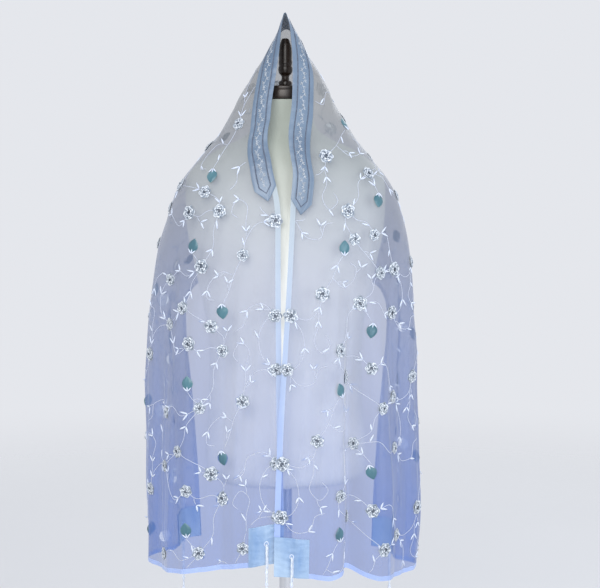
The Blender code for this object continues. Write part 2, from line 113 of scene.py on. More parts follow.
STITCH_WIDTH = 0.0010
STITCH_HEIGHT = 0.0005
STITCH_LEAF = 0.0158
STITCH_LEAF_WIDTH = 0.235 * STITCH_LEAF
STITCH_LEAF_HEIGHT = 0.0011
CALYX_WIDTH = 0.0029
CALYX_HEIGHT = 0.0010
LEAF_LIFT = 0.0003
RIBBON_LIFT = 0.0004
END_MARGIN = 0.010
FRONT_MARGIN = 0.005
LEAF_MARGIN = 0.004
SPRIG_MARGIN = 0.010
SPRIG_STEM = 0.016
SPRIG_STEPS = 5
SPRIG_CHANCE = 0.22
PAIR_CHANCE = 0.5
EYELET_RADIUS = 0.0042
EYELET_WIDTH = 0.0018
TASSEL_KNOTS = 5
FIRST_KNOT = 0.0075
KNOT_LENGTH = 0.0030
LOOP_BESIDE = 0.0026
STRAND_RADIUS = 0.00085

# The studio and the camera, whose place was fitted to the photograph
FLOOR_SIZE = 40.0
FLOOR_WHOLE = 0.9
FLOOR_GONE = 4.2
STUDIO_COLOUR = (0.93, 0.95, 1.0)
STUDIO_STRENGTH = 0.84
LIT_MIDDLE = (0.0, 0.0, 0.95)
LAMPS = (
    ("name", "place", "size", "power", "colour"),
    ("key", (-0.6, -2.5, 2.0), 1.6, 40.0, (1.0, 0.98, 0.95)),
    ("fill", (1.7, -2.0, 1.2), 1.8, 26.0, (0.90, 0.95, 1.0)),
    ("rim", (0.8, 2.2, 2.4), 1.4, 13.0, (0.95, 0.97, 1.0)),
)
CAMERA_PLACE = (0.0276, -2.30, PEAK_HEIGHT - 0.346)
CAMERA_TILT = 4.4
CAMERA_LENS = 72.5
CAMERA_SENSOR = 36.0

CORNERS = (
    ("side", "end", "edge"),
    ("left", -1, "front"),
    ("left", -1, "back"),
    ("right", 1, "front"),
    ("right", 1, "back"),
)

# The draped form by level. Drop is the distance below the peak. Left and right are the half
# widths of the whole drape, front and back its depth, and the edge columns say where the two
# front edges hang.
DRAPE = (
    ("drop", "left", "right", "front", "back", "left_edge", "right_edge"),
    (0.000, 0.0020, 0.0020, -0.040, -0.038, 0.0008, 0.0008),
    (0.020, 0.0115, 0.0140, -0.044, -0.002, 0.0050, 0.0070),
    (0.043, 0.0175, 0.0240, -0.048, 0.0190, 0.0075, 0.0100),
    (0.060, 0.0265, 0.0340, -0.051, 0.029, 0.0090, 0.0120),
    (0.092, 0.0490, 0.0540, -0.057, 0.043, 0.0130, 0.0138),
    (0.127, 0.0710, 0.0760, -0.064, 0.054, 0.0180, 0.0138),
    (0.162, 0.0915, 0.0915, -0.074, 0.065, 0.0235, 0.0130),
    (0.200, 0.1110, 0.1130, -0.086, 0.078, 0.0268, 0.0090),
    (0.230, 0.1310, 0.1330, -0.097, 0.090, 0.0315, 0.0065),
    (0.250, 0.1480, 0.1490, -0.104, 0.098, 0.0300, 0.0080),
    (0.275, 0.1690, 0.1685, -0.113, 0.106, 0.0240, 0.0120),
    (0.300, 0.1900, 0.1895, -0.120, 0.112, 0.0200, 0.0150),
    (0.335, 0.2090, 0.2090, -0.127, 0.117, 0.0110, 0.0115),
    (0.380, 0.2235, 0.2210, -0.132, 0.121, 0.0070, 0.0098),
    (0.440, 0.2380, 0.2300, -0.135, 0.124, 0.0070, 0.0070),
    (0.520, 0.2465, 0.2350, -0.136, 0.126, 0.0070, 0.0028),
    (0.610, 0.2535, 0.2370, -0.137, 0.127, 0.0060, -0.0030),
    (0.780, 0.2570, 0.2410, -0.139, 0.128, 0.0045, -0.0130),
    (0.920, 0.2580, 0.2485, -0.141, 0.128, 0.0020, -0.0185),
    (1.080, 0.2560, 0.2400, -0.142, 0.127, 0.0015, -0.0205),
)

# Where the long back edge hangs, by distance along the front edge: its drop below the peak
# and its distance from the middle of the back.
BACK_EDGE = (
    ("along", "drop", "reach"),
    (0.000, 0.500, 0.000),
    (0.100, 0.512, 0.080),
    (0.200, 0.498, 0.145),
    (0.300, 0.520, 0.185),
    (0.400, 0.560, 0.197),
    (0.500, 0.615, 0.196),
    (0.600, 0.685, 0.190),
    (0.700, 0.760, 0.184),
    (0.850, 0.890, 0.176),
    (1.030, 1.042, 0.170),
)

# Folds: which half (-1 left, 1 right), place across the cloth at the hem and at the top, the
# drop where the fold begins, its depth (outwards is positive) and its half width.
FOLDS = (
    ("half", "across", "lean", "start", "depth", "width"),
    (-1, 0.075, 0.050, 0.42, 0.004, 0.030),
    (-1, 0.150, 0.120, 0.36, -0.008, 0.030),
    (-1, 0.225, 0.170, 0.30, 0.008, 0.030),
    (-1, 0.330, 0.270, 0.34, -0.015, 0.030),
    (-1, 0.405, 0.360, 0.26, 0.013, 0.028),
    (-1, 0.470, 0.440, 0.18, -0.019, 0.025),
    (-1, 0.530, 0.510, 0.16, 0.010, 0.024),
    (1, 0.060, 0.050, 0.45, 0.003, 0.030),
    (1, 0.118, 0.110, 0.40, 0.011, 0.030),
    (1, 0.180, 0.160, 0.34, -0.030, 0.021),
    (1, 0.240, 0.205, 0.34, 0.012, 0.026),
    (1, 0.320, 0.260, 0.30, -0.010, 0.032),
    (1, 0.400, 0.350, 0.24, 0.013, 0.028),
    (1, 0.465, 0.440, 0.18, -0.019, 0.025),
    (1, 0.530, 0.510, 0.16, 0.010, 0.024),
)
SIDE_SAG = {-1: 0.030, 1: 0.016}
HEM_NOTCH_ACROSS = 0.180
HEM_NOTCH_RISE = 0.016
HEM_NOTCH_WIDTH = 0.028
FOLD_FULL_DEPTH_OVER = 0.45
RING_FULLNESS = 0.88

# One repeat of the embroidered cloth, in cells: 11 along and 11 across, moved on by half a
# repeat in the second half of the width. It starts anew at the peak, where the right side
# begins 6 cells into a repeat. Turn is a leaf's heading from the length of the cloth, in degrees.
REPEAT_ALONG = 11
REPEAT_ACROSS = 11
RIGHT_START = 6
MOTIFS = (
    ("along", "across", "kind", "turn"),
    (6, 0, "flower", 0),
    (10, 0, "flower", 0),
    (4, 3, "flower", 0),
    (0, 5, "leaf", 180),
    (8, 5, "flower", 0),
    (10, 6, "flower", 0),
    (4, 7, "flower", 0),
    (6, 8, "leaf", 0),
    (9, 8, "flower", 0),
    (1, 9, "flower", 0),
)

# Embroidered vines of one repeat, as points in cells. Each runs smoothly through its points.
VINES = (
    ((1.15, 5.4), (1.9, 4.9), (3.1, 4.4), (4.5, 3.5)),
    ((8.5, 5.5), (9.5, 5.4), (10.5, 6.5), (11.2, 7.4), (12.5, 9.5)),
    ((5.85, 8.5), (5.3, 8.1), (4.5, 7.5), (3.4, 8.5), (2.3, 8.8), (1.5, 9.5)),
    ((9.5, 8.5), (8.8, 7.6), (8.9, 6.5), (8.5, 5.5)),
    ((4.5, 3.5), (5.7, 3.2), (6.6, 2.2), (6.5, 0.5)),
    ((6.5, 0.5), (7.6, 1.7), (9.1, 2.0), (10.2, 1.4), (10.5, 0.5)),
    ((10.5, 0.5), (11.5, 1.6), (11.3, 3.0), (10.2, 3.4), (9.8, 4.2)),
    ((5.7, 3.2), (7.0, 3.2), (8.2, 2.9), (8.9, 3.7), (8.1, 4.4), (7.5, 3.9)),
    ((8.5, 5.5), (7.2, 6.3), (5.8, 6.4), (4.5, 7.5)),
    ((3.1, 4.4), (3.6, 5.6), (2.9, 6.7), (1.8, 6.9), (1.5, 6.2)),
    ((1.5, 9.5), (1.0, 10.4), (0.5, 11.5)),
    ((4.5, 7.5), (4.1, 9.1), (4.9, 10.3), (4.5, 11.5)),
    ((9.5, 8.5), (8.9, 9.9), (10.1, 10.7), (11.5, 11.5)),
)

# The dress form's torso by level below the peak
TORSO = (
    ("drop", "half_width", "front", "back"),
    (0.1580, 0.050, -0.046, 0.050),
    (0.1950, 0.053, -0.049, 0.056),
    (0.2120, 0.062, -0.054, 0.064),
    (0.2300, 0.088, -0.064, 0.074),
    (0.2500, 0.1300, -0.076, 0.084),
    (0.2750, 0.1653, -0.089, 0.093),
    (0.3000, 0.1855, -0.100, 0.099),
    (0.3300, 0.1890, -0.109, 0.104),
    (0.3700, 0.1880, -0.117, 0.108),
    (0.4050, 0.1850, -0.121, 0.109),
    (0.4560, 0.1740, -0.119, 0.106),
    (0.5020, 0.1650, -0.111, 0.101),
    (0.5450, 0.1560, -0.104, 0.097),
    (0.6000, 0.1460, -0.099, 0.093),
    (0.6500, 0.1450, -0.099, 0.095),
    (0.7100, 0.1470, -0.103, 0.100),
    (0.7800, 0.1510, -0.108, 0.105),
    (0.8250, 0.1540, -0.111, 0.108),
    (0.8560, 0.1515, -0.109, 0.106),
    (0.8710, 0.1430, -0.103, 0.100),
    (0.8790, 0.1270, -0.091, 0.088),
)
TORSO_FULLNESS = 0.92

# Turned profiles, from the top down their outer side: radius and height above their foot
CAP_PROFILE = (
    (0.0, 0.0255), (0.0455, 0.0255), (0.0490, 0.0235), (0.0490, 0.0195), (0.0476, 0.0180),
    (0.0490, 0.0165), (0.0490, 0.0030), (0.0465, 0.0), (0.0, 0.0),
)
FINIAL_PROFILE = (
    (0.0, 0.0902), (0.0058, 0.0902), (0.0071, 0.0887), (0.0086, 0.0845), (0.0107, 0.0790),
    (0.0120, 0.0710), (0.0124, 0.0620), (0.0120, 0.0500), (0.0127, 0.0480), (0.0127, 0.0430),
    (0.0118, 0.0400), (0.0133, 0.0360), (0.0135, 0.0310), (0.0120, 0.0250), (0.0076, 0.0215),
    (0.0068, 0.0170), (0.0080, 0.0125), (0.0124, 0.0100), (0.0128, 0.0040), (0.0112, 0.0),
    (0.0, 0.0),
)
BASE_PROFILE = (
    (0.0, 0.0480), (0.0220, 0.0480), (0.0260, 0.0440), (0.0280, 0.0300), (0.0500, 0.0240),
    (0.1600, 0.0200), (0.1840, 0.0170), (0.1900, 0.0110), (0.1900, 0.0030), (0.1870, 0.0),
    (0.0, 0.0),
)


# The draped surface


class SmoothColumn:
    """One named column of a table, as a smooth curve over another that never overshoots its rows."""

    def __init__(self, table, key, name):
        self.x, self.y = (np.array([row[table[0].index(n)] for row in table[1:]]) for n in (key, name))
        steps = np.diff(self.x)
        slopes = np.diff(self.y) / steps
        self.tangent = np.zeros(len(self.x))
        self.tangent[[0, -1]] = slopes[[0, -1]]
        for i in range(1, len(slopes)):
            if slopes[i - 1] * slopes[i] > 0:
                first = 2 * steps[i] + steps[i - 1]
                second = steps[i] + 2 * steps[i - 1]
                self.tangent[i] = (first + second) / (first / slopes[i - 1] + second / slopes[i])

    def __call__(self, value):
        value = np.clip(value, self.x[0], self.x[-1])
        i = np.clip(np.searchsorted(self.x, value) - 1, 0, len(self.x) - 2)
        step = self.x[i + 1] - self.x[i]
        t = (value - self.x[i]) / step
        return (
            self.y[i] * (1 + 2 * t) * (1 - t) ** 2
            + self.tangent[i] * step * t * (1 - t) ** 2
            + self.y[i + 1] * t**2 * (3 - 2 * t)
            + self.tangent[i + 1] * step * t**2 * (t - 1)
        )


def curves(table):
    """Every further column of a table, as a smooth curve over its first one."""
    return {name: SmoothColumn(table, table[0][0], name) for name in table[0][1:]}


def smooth_step(value):
    value = np.clip(value, 0.0, 1.0)
    return value * value * (3 - 2 * value)


def bell(value):
    """1 at zero, falling to nothing on both sides."""
    return np.exp(-(value**2))


def wave(distance, length, shift=0.0):
    """A sine over a distance, with this length from crest to crest."""
    return np.sin(distance * 2 * math.pi / length + shift)


def signed_power(value, power):
    return np.sign(value) * np.abs(value) ** power


def unit(vectors):
    return vectors / np.maximum(np.linalg.norm(vectors, axis=-1, keepdims=True), 1e-9)


def run_length(points):
    """The distance of each point from the first one, along their line."""
    return np.concatenate([[0], np.cumsum(np.linalg.norm(np.diff(points, axis=0), axis=1))])


def with_ends(points):
    """The points with one more at each end, straight on from the last two."""
    return np.concatenate([2 * points[:1] - points[1:2], points, 2 * points[-1:] - points[-2:-1]])


class Drape:
    """Lays the flat cloth's lines of cell corners, from the front to the back edge, over the form."""

    SAMPLES = 97
    # The drop of a front edge for each metre along it
    EDGE_FALL = 0.998
    # How much later the cloth falls towards its back edge near the peak, and how that fades
    LATE_FALL, LATE_FADE = 0.35, 0.15
    SAG_START, SAG_OVER = 0.45, 0.5
    # How much sooner the cloth turns to the back near the peak, and how that fades
    EARLY_TURN, EARLY_FADE = 13, 0.085
    NOTCH_START, NOTCH_OVER = 0.80, 0.22
    # Where the right front edge hangs in front of the left one, and how far
    CROSS_START, CROSS_OVER, CROSS_FADE, CROSS_DEPTH = 0.42, 0.12, 0.06, 0.007

    form = curves(DRAPE)
    back_edge = curves(BACK_EDGE)
    name = {-1: "left", 1: "right"}

    def ring(self, half, drop, turn):
        """The points at these levels, turned from the front (0) to the middle of the back (pi)."""
        front, back = self.form["front"](drop), self.form["back"](drop)
        x = half * self.form[self.name[half]](drop) * signed_power(np.sin(turn), RING_FULLNESS)
        y = (back + front) / 2 - (back - front) / 2 * signed_power(np.cos(turn), RING_FULLNESS)
        return np.stack([x, y, PEAK_HEIGHT - drop], axis=-1)

    def section(self, half, along):
        """Many drops and turns across the cloth, with each one's share of the way over it."""
        t = np.linspace(0, 1, self.SAMPLES)
        front_drop = along * self.EDGE_FALL
        late = 1 + self.LATE_FALL * np.exp(-along / self.LATE_FADE)
        drop = front_drop + (self.back_edge["drop"](along) - front_drop) * t**late
        sag = smooth_step((along - self.SAG_START) / self.SAG_OVER)
        drop = drop + SIDE_SAG[half] * sag * np.sin(math.pi * t)
        width = self.form[self.name[half]]
        edge = self.form[self.name[half] + "_edge"](front_drop) / width(front_drop)
        start = np.arcsin(np.clip(signed_power(edge, 1 / RING_FULLNESS), -1.0, 1.0))
        reach = np.clip(self.back_edge["reach"](along) / width(drop), 0, 1)
        finish = math.pi - np.arcsin(reach ** (1 / RING_FULLNESS))
        early = 1 + self.EARLY_TURN * math.exp(-along / self.EARLY_FADE)
        turn = start + (finish - start) * (1 - (1 - t) ** early)
        away = run_length(self.ring(half, drop, turn))
        return away / away[-1], drop, turn

    def line(self, half, along):
        """The middle of the wall at each cell corner of one line across, with its folds."""
        share, drop, turn = self.section(half, along)
        across = np.arange(CELLS_ACROSS + 1) * CELL_ACROSS
        drop = np.interp(across / CLOTH_WIDTH, share, drop)
        turn = np.interp(across / CLOTH_WIDTH, share, turn)
        points = self.ring(half, drop, turn)
        outward = np.stack([half * np.sin(turn), -np.cos(turn), 0.0 * turn], axis=-1)
        for fold_half, fold_across, lean, start, depth, width in FOLDS[1:]:
            if fold_half == half:
                grown = smooth_step((drop - start) / FOLD_FULL_DEPTH_OVER)
                centre = lean + (fold_across - lean) * grown
                points += outward * (depth * grown * bell((across - centre) / width))[:, None]
        if half > 0:
            rise = smooth_step((drop - self.NOTCH_START) / self.NOTCH_OVER)
            points[:, 2] += HEM_NOTCH_RISE * rise * bell((across - HEM_NOTCH_ACROSS) / HEM_NOTCH_WIDTH)
            over = smooth_step((drop - self.CROSS_START) / self.CROSS_OVER)
            points[:, 1] -= self.CROSS_DEPTH * over * np.exp(-across / self.CROSS_FADE)
        return points

    def grid(self):
        """Every cell corner, from the left bottom hem over the peak to the right one."""
        left = [self.line(-1, i * CELL_ALONG) for i in range(CELLS_LEFT, -1, -1)]
        right = [self.line(1, i * CELL_ALONG) for i in range(CELLS_RIGHT + 1)]
        return np.array([*left[:-1], (left[-1] + right[0]) / 2, *right[1:]])


# A smooth curve through the middle two of four even points, as weights of 1, t, t^2 and t^3
SPLINE = np.array([[0, 2, 0, 0], [-1, 0, 1, 0], [2, -5, 4, -1], [-1, 3, -3, 1]]) / 2


def spline_weights(t):
    """Weights of the four points at a share of the way between the middle two, and their slopes."""
    powers = np.stack([np.ones_like(t), t, t**2, t**3], axis=-1)
    slopes = np.stack([np.zeros_like(t), np.ones_like(t), 2 * t, 3 * t**2], axis=-1)
    return powers @ SPLINE, slopes @ SPLINE


class Cloth:
    """The shawl's surface, smooth between the part's cell corners, with fine soft folds."""

    # Fine folds: each one's height, and its length from crest to crest
    SOFT = (0.0013, 0.052)
    FINE = (0.0004, 0.023)
    SLACK = (0.0009, 0.19)
    PULL = (0.0007, 0.034)
    # The drops where the lower folds begin, and the upper ones begin and end, and over what distance
    LOWER_IN = (0.36, 0.35)
    UPPER_IN = (0.06, 0.10)
    UPPER_OUT = (0.22, 0.05)
    FLAT_FRONT = 0.05
    LEFT_SHIFT = 1.7

    def __init__(self):
        grid = with_ends(Drape().grid())
        self.grid = with_ends(grid.swapaxes(0, 1)).swapaxes(0, 1)

    def base(self, along, across):
        """Smooth points, and the surface's two directions, without the fine folds."""
        a = np.asarray(along, float) / CELL_ALONG + CELLS_LEFT
        b = np.asarray(across, float) / CELL_ACROSS
        i = np.clip(np.floor(a).astype(int), 0, CELLS_LEFT + CELLS_RIGHT - 1)
        j = np.clip(np.floor(b).astype(int), 0, CELLS_ACROSS - 1)
        value_a, slope_a = spline_weights(a - i)
        value_b, slope_b = spline_weights(b - j)
        four = np.arange(4)
        corners = self.grid[i[..., None, None] + four[:, None], j[..., None, None] + four]

        def blend(weights_a, weights_b):
            weights = weights_a[..., :, None] * weights_b[..., None, :]
            return (corners * weights[..., None]).sum(axis=(-3, -2))

        return blend(value_a, value_b), blend(slope_a, value_b), blend(value_a, slope_b)

    def ripple(self, along, across, point):
        """Fine soft folds, outwards, growing from the shoulders to the hem."""
        drop = PEAK_HEIGHT - point[..., 2]
        side = np.where(along < 0, self.LEFT_SHIFT, 0.0)

        def fold(size, distance, shift):
            height, length = size
            return height * wave(distance, length, shift)

        def share(stretch):
            start, over = stretch
            return smooth_step((drop - start) / over)

        soft = fold(self.SOFT, across, side + 2.2 * np.sin(along * 2.6 + side))
        fine = fold(self.FINE, across, along * 7.0 + side * 2)
        slack = fold(self.SLACK, along, across * 21.0 + side)
        pull = fold(self.PULL, across, along * 9.0)
        lower = share(self.LOWER_IN) * (soft + fine + slack)
        upper = share(self.UPPER_IN) * (1 - share(self.UPPER_OUT)) * pull
        return smooth_step(across / self.FLAT_FRONT) * (lower + upper)

    def at(self, along, across, out=0.0):
        """Points on the cloth, moved out from its middle, and the outward directions."""
        along, across = np.broadcast_arrays(np.asarray(along, float), np.asarray(across, float))
        point, down, over = self.base(along, across)
        normal = unit(np.cross(down, over))
        return point + normal * (self.ripple(along, across, point) + out)[..., None], normal

    def frame_at(self, along, across, out=0.0, turn=0.0):
        """One place on the cloth as a matrix, turned on it: X along, Y across, Z outwards."""
        point, normal = self.at(along, across, out)
        down = self.base(along, across)[1]
        z = Vector(normal).normalized()
        x = Vector(down).normalized()
        x = (x - z * x.dot(z)).normalized()
        place = Matrix((x, z.cross(x), z)).transposed().to_4x4()
        place.translation = Vector(point)
        return place @ Matrix.Rotation(turn, 4, "Z")


cloth = Cloth()


# Mesh helpers. A look is a material and the name of its slot.


def grid_faces(rows, columns, start=0, flip=False, closed=False, looped=False):
    """Quads over a grid of vertices that is stored row by row.

    A closed grid joins its last column to the first, and a looped one its last row.
    """
    faces = []
    for r in range(rows if looped else rows - 1):
        here = start + r * columns
        there = start + (r + 1) % rows * columns
        for c in range(columns if closed else columns - 1):
            d = (c + 1) % columns
            quad = (here + c, here + d, there + d, there + c)
            faces.append(quad[::-1] if flip else quad)
    return faces


def tube_faces(rings, sides, start=0, flip=False):
    """Quads round a closed tube of rings, with a flat face at each end."""
    first = tuple(range(start, start + sides))
    last = tuple(range(start + (rings - 1) * sides, start + rings * sides))
    ends = [first, last[::-1]] if flip else [first[::-1], last]
    return grid_faces(rings, sides, start, flip=flip, closed=True) + ends


def mesh_from(name, points, faces):
    mesh = bpy.data.meshes.new(name)
    mesh.from_pydata(np.array(points, float).reshape(-1, 3).tolist(), [], faces)
    return mesh


def piece_from(mesh, look, node=None, sharp=None):
    """Shows a mesh as one piece, which may stand for a node of the part."""
    material, slot = look
    mesh.shade_smooth()
    if sharp:
        mesh.set_sharp_from_angle(angle=sharp)
    mesh.materials.append(material)
    obj = bpy.data.objects.new(mesh.name, mesh)
    bpy.context.scene.collection.objects.link(obj)
    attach(obj, "root")
    if node:
        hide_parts(node)
    return obj


def sheet_on_cloth(name, a, b, out, look, node=None):
    """One layer of cloth over the places where lines along and lines across meet."""
    along, across = np.meshgrid(a, b, indexing="ij")
    points, _ = cloth.at(along, across, out)
    return piece_from(mesh_from(name, points, grid_faces(*along.shape)), look, node)


def layer_on_cloth(name, along, across, inner, outer, look, node=None):
    """A closed layer with an inner and an outer skin over a grid of places."""
    rows, columns = along.shape
    count = rows * columns
    skins = [cloth.at(along, across, out)[0] for out in (outer, inner)]
    faces = grid_faces(rows, columns) + grid_faces(rows, columns, start=count, flip=True)
    rim = list(range(columns))
    rim += [r * columns + columns - 1 for r in range(1, rows)]
    rim += [(rows - 1) * columns + c for c in range(columns - 2, -1, -1)]
    rim += [r * columns for r in range(rows - 2, 0, -1)]
    faces += [(b, a, a + count, b + count) for a, b in zip(rim, rim[1:] + rim[:1])]
    mesh = mesh_from(name, skins, faces)
    bm = bmesh.new()
    bm.from_mesh(mesh)
    bmesh.ops.remove_doubles(bm, verts=bm.verts, dist=SAME_POINT)
    bmesh.ops.recalc_face_normals(bm, faces=bm.faces)
    bm.to_mesh(mesh)
    bm.free()
    return piece_from(mesh, look, node, CORNER_ANGLE)


class Shape:
    """The points and faces of one piece while it is put together."""

    # A flattened cord's outline, in widths and heights, from one edge round to the other
    CORD = ((-0.5, 0.05), (-0.32, 0.72), (0.0, 1.0), (0.32, 0.72), (0.5, 0.05), (0.0, -0.12))
    THIN_END = 0.25

    def __init__(self):
        self.points = []
        self.faces = []
        self.tones = []

    def add(self, place, points, faces, tones=()):
        """Adds a small form, given in its own frame, at a place."""
        start = len(self.points)
        self.points += [place @ Vector(p) for p in points]
        self.faces += [tuple(start + k for k in face) for face in faces]
        self.tones += tones

    def cord(self, along, across, out, width, height, closed=False, taper=0.0):
        """Adds a flattened cord through places on the cloth, thinner at its ends by a taper."""
        points, normals = cloth.at(along, across, out)
        if closed:
            ahead = np.roll(points, -1, axis=0) - np.roll(points, 1, axis=0)
        else:
            ahead = np.gradient(points, axis=0)
        side = unit(np.cross(normals, unit(ahead)))
        count = len(points)
        thin = np.ones(count)
        if taper:
            k = np.arange(count)
            share = np.minimum(k, count - 1 - k) / max(1, count * taper)
            thin = self.THIN_END + (1 - self.THIN_END) * np.minimum(1.0, share)
        start = len(self.points)
        for point, beside, normal, size in zip(points, side, normals, thin):
            for a, b in self.CORD:
                self.points.append(point + beside * a * width * size + normal * b * height * size)
        if closed:
            self.faces += grid_faces(count, len(self.CORD), start, closed=True, looped=True)
        else:
            self.faces += tube_faces(count, len(self.CORD), start)

    def tube(self, points, radii, sides):
        """Adds a round tube with its own radius at each point."""
        points = np.array(points, float)
        start = len(self.points)
        side = np.array([1.0, 0.0, 0.0])
        for point, direction, radius in zip(points, unit(np.gradient(points, axis=0)), radii):
            side = unit(side - direction * side.dot(direction))
            other = np.cross(direction, side)
            for k in range(sides):
                angle = 2 * math.pi * k / sides
                self.points.append(point + (side * math.cos(angle) + other * math.sin(angle)) * radius)
        self.faces += tube_faces(len(points), sides, start)

    def piece(self, name, look, node=None, sharp=None):
        mesh = mesh_from(name, self.points, self.faces)
        if self.tones:
            layer = mesh.attributes.new("tone", "FLOAT", "POINT")
            layer.data.foreach_set("value", self.tones)
        return piece_from(mesh, look, node, sharp)


def smooth_line(knots, step):
    """Even points on a smooth curve through the knots, in cloth distances."""
    knots = np.array(knots, float)
    padded = with_ends(knots)
    value, _ = spline_weights(np.linspace(0, 1, 12, endpoint=False))
    fine = np.concatenate([value @ padded[k : k + 4] for k in range(len(knots) - 1)] + [knots[-1:]])
    away = run_length(fine)
    even = np.linspace(0, away[-1], max(2, round(away[-1] / step) + 1))
    return np.stack([np.interp(even, away, fine[:, k]) for k in range(2)], axis=1)


# Materials


class Nodes:
    """A small helper to build a material's nodes."""

    def __init__(self, name, colour, roughness, **values):
        self.material = bpy.data.materials.new(name)
        self.material.use_nodes = True
        self.tree = self.material.node_tree
        self.shader = self.tree.nodes["Principled BSDF"]
        self.shader.inputs["Base Color"].default_value = (*colour, 1.0)
        self.shader.inputs["Roughness"].default_value = roughness
        for key, value in values.items():
            self.shader.inputs[key.replace("_", " ")].default_value = value

    def add(self, kind, **settings):
        """Adds a node. A setting that begins with in_ is the value of an input."""
        node = self.tree.nodes.new(kind)
        for key, value in settings.items():
            if key.startswith("in_"):
                node.inputs[key[3:].replace("_", " ")].default_value = value
            else:
                setattr(node, key, value)
        return node

    def link(self, a, b):
        self.tree.links.new(a, b)

    def position(self, scale=(1.0, 1.0, 1.0)):
        where = self.add("ShaderNodeTexCoord")
        mapping = self.add("ShaderNodeMapping", in_Scale=scale)
        self.link(where.outputs["Object"], mapping.inputs["Vector"])
        return mapping.outputs["Vector"]

    def noise(self, scale, detail, stretch=(1.0, 1.0, 1.0)):
        node = self.add("ShaderNodeTexNoise", in_Scale=scale, in_Detail=detail)
        self.link(self.position(stretch), node.inputs["Vector"])
        return node.outputs["Fac"]

    def ramp(self, value, low, high, start=0.0, stop=1.0):
        node = self.add("ShaderNodeValToRGB")
        for element, place, colour in zip(node.color_ramp.elements, (start, stop), (low, high)):
            element.position = place
            element.color = (*colour, 1.0)
        self.link(value, node.inputs["Fac"])
        return node.outputs["Color"]

    def height(self, low, high):
        """From 0 at the lower level to 1 at the upper one."""
        split = self.add("ShaderNodeSeparateXYZ")
        self.link(self.position(), split.inputs["Vector"])
        level = self.add("ShaderNodeMapRange", in_From_Min=low, in_From_Max=high)
        self.link(split.outputs["Z"], level.inputs["Value"])
        return level.outputs["Result"]

    def times(self, a, b):
        mix = self.add("ShaderNodeMix", data_type="RGBA", blend_type="MULTIPLY", in_Factor=1.0)
        # Of this node's sockets, inputs 6 and 7 and output 2 are the colours
        self.link(a, mix.inputs[6])
        self.link(b, mix.inputs[7])
        return mix.outputs[2]

    def weave(self, scale):
        """The fine over and under of woven threads, from 0 to 1."""
        both = self.add("ShaderNodeMath", operation="MULTIPLY")
        where = self.position()
        for axis, side in zip(("X", "Z"), both.inputs):
            thread = self.add("ShaderNodeTexWave", bands_direction=axis, in_Scale=scale, in_Distortion=0.6)
            self.link(where, thread.inputs["Vector"])
            self.link(thread.outputs["Fac"], side)
        return both.outputs[0]

    def colour(self, socket):
        self.link(socket, self.shader.inputs["Base Color"])

    def bump(self, value, strength, distance):
        node = self.add("ShaderNodeBump", in_Strength=strength, in_Distance=distance)
        self.link(value, node.inputs["Height"])
        self.link(node.outputs["Normal"], self.shader.inputs["Normal"])


def organza(name, foot, top, alpha):
    """Sheer blue cloth, tinted by height with painted light: deeper painted shade at its foot and greyer
    painted light at the peak.
    """
    nodes = Nodes(name, foot, 0.42, Sheen_Weight=0.35, Sheen_Roughness=0.35, Alpha=alpha)
    nodes.shader.inputs["Sheen Tint"].default_value = (0.85, 0.9, 1.0, 1.0)
    # Painted light by height: deeper painted shade at the foot, greyer painted light towards the peak
    tint_and_painted_light = nodes.ramp(nodes.height(0.45, 1.25), foot, top)
    cloud = nodes.ramp(nodes.noise(7.0, 4.0), (0.80, 0.82, 0.86), (1.0, 1.0, 1.0), 0.30, 0.72)
    nodes.colour(nodes.times(tint_and_painted_light, cloud))
    nodes.bump(nodes.weave(260.0), 0.12, 0.0003)
    return nodes.material, "organza"


def satin(name, dark, light, crease=0.0018):
    nodes = Nodes(name, light, 0.34, Sheen_Weight=0.25, Sheen_Roughness=0.3, Specular_IOR_Level=0.62)
    streak = nodes.noise(26.0, 5.0, (1.0, 1.0, 0.35))
    nodes.colour(nodes.ramp(streak, dark, light, 0.30, 0.68))
    nodes.bump(nodes.noise(85.0, 5.0, (0.45, 0.45, 1.0)), 0.55, crease)
    return nodes.material, "satin"


def thread(name, dark, light, scale=700.0, slot="thread"):
    nodes = Nodes(name, light, 0.55, Sheen_Weight=0.3)
    twist = nodes.noise(scale, 3.0, (1.0, 1.0, 0.4))
    nodes.colour(nodes.ramp(twist, dark, light, 0.32, 0.62))
    nodes.bump(twist, 0.45, 0.0004)
    return nodes.material, slot


def ribbon():
    """Pale ribbon, with painted light and shade by each point's tone: painted shade turns it blue-grey to
    near black in its folds and at its eye, and painted highlights keep its raised edges white.
    """
    nodes = Nodes("ribbon_flower", (0.8, 0.84, 0.9), 0.38, Sheen_Weight=0.3)
    tone = nodes.add("ShaderNodeAttribute", attribute_name="tone")
    # Tone to colour: near black and blue-grey are painted shade, white is the ribbon with its painted
    # highlights
    shades = nodes.add("ShaderNodeValToRGB")
    shades.color_ramp.elements.new(0.45)
    for element, place, colour in zip(
        shades.color_ramp.elements,
        (0.05, 0.42, 0.85),
        ((0.045, 0.06, 0.095), (0.34, 0.40, 0.48), (0.84, 0.88, 0.94)),
    ):
        element.position = place
        element.color = (*colour, 1.0)
    nodes.link(tone.outputs["Fac"], shades.inputs["Fac"])
    nodes.colour(shades.outputs["Color"])
    nodes.bump(nodes.noise(1400.0, 2.0), 0.3, 0.0003)
    return nodes.material, "thread"


def turned_wood():
    nodes = Nodes("dark_wood_turned", (0.05, 0.03, 0.02), 0.38, Coat_Weight=0.25, Coat_Roughness=0.3)
    grain = nodes.noise(22.0, 8.0, (1.0, 1.0, 0.10))
    nodes.colour(nodes.ramp(grain, (0.006, 0.004, 0.003), (0.038, 0.020, 0.011), 0.38, 0.70))
    nodes.bump(nodes.noise(160.0, 6.0, (1.0, 1.0, 0.08)), 0.2, 0.0004)
    return nodes.material, "dark_wood"


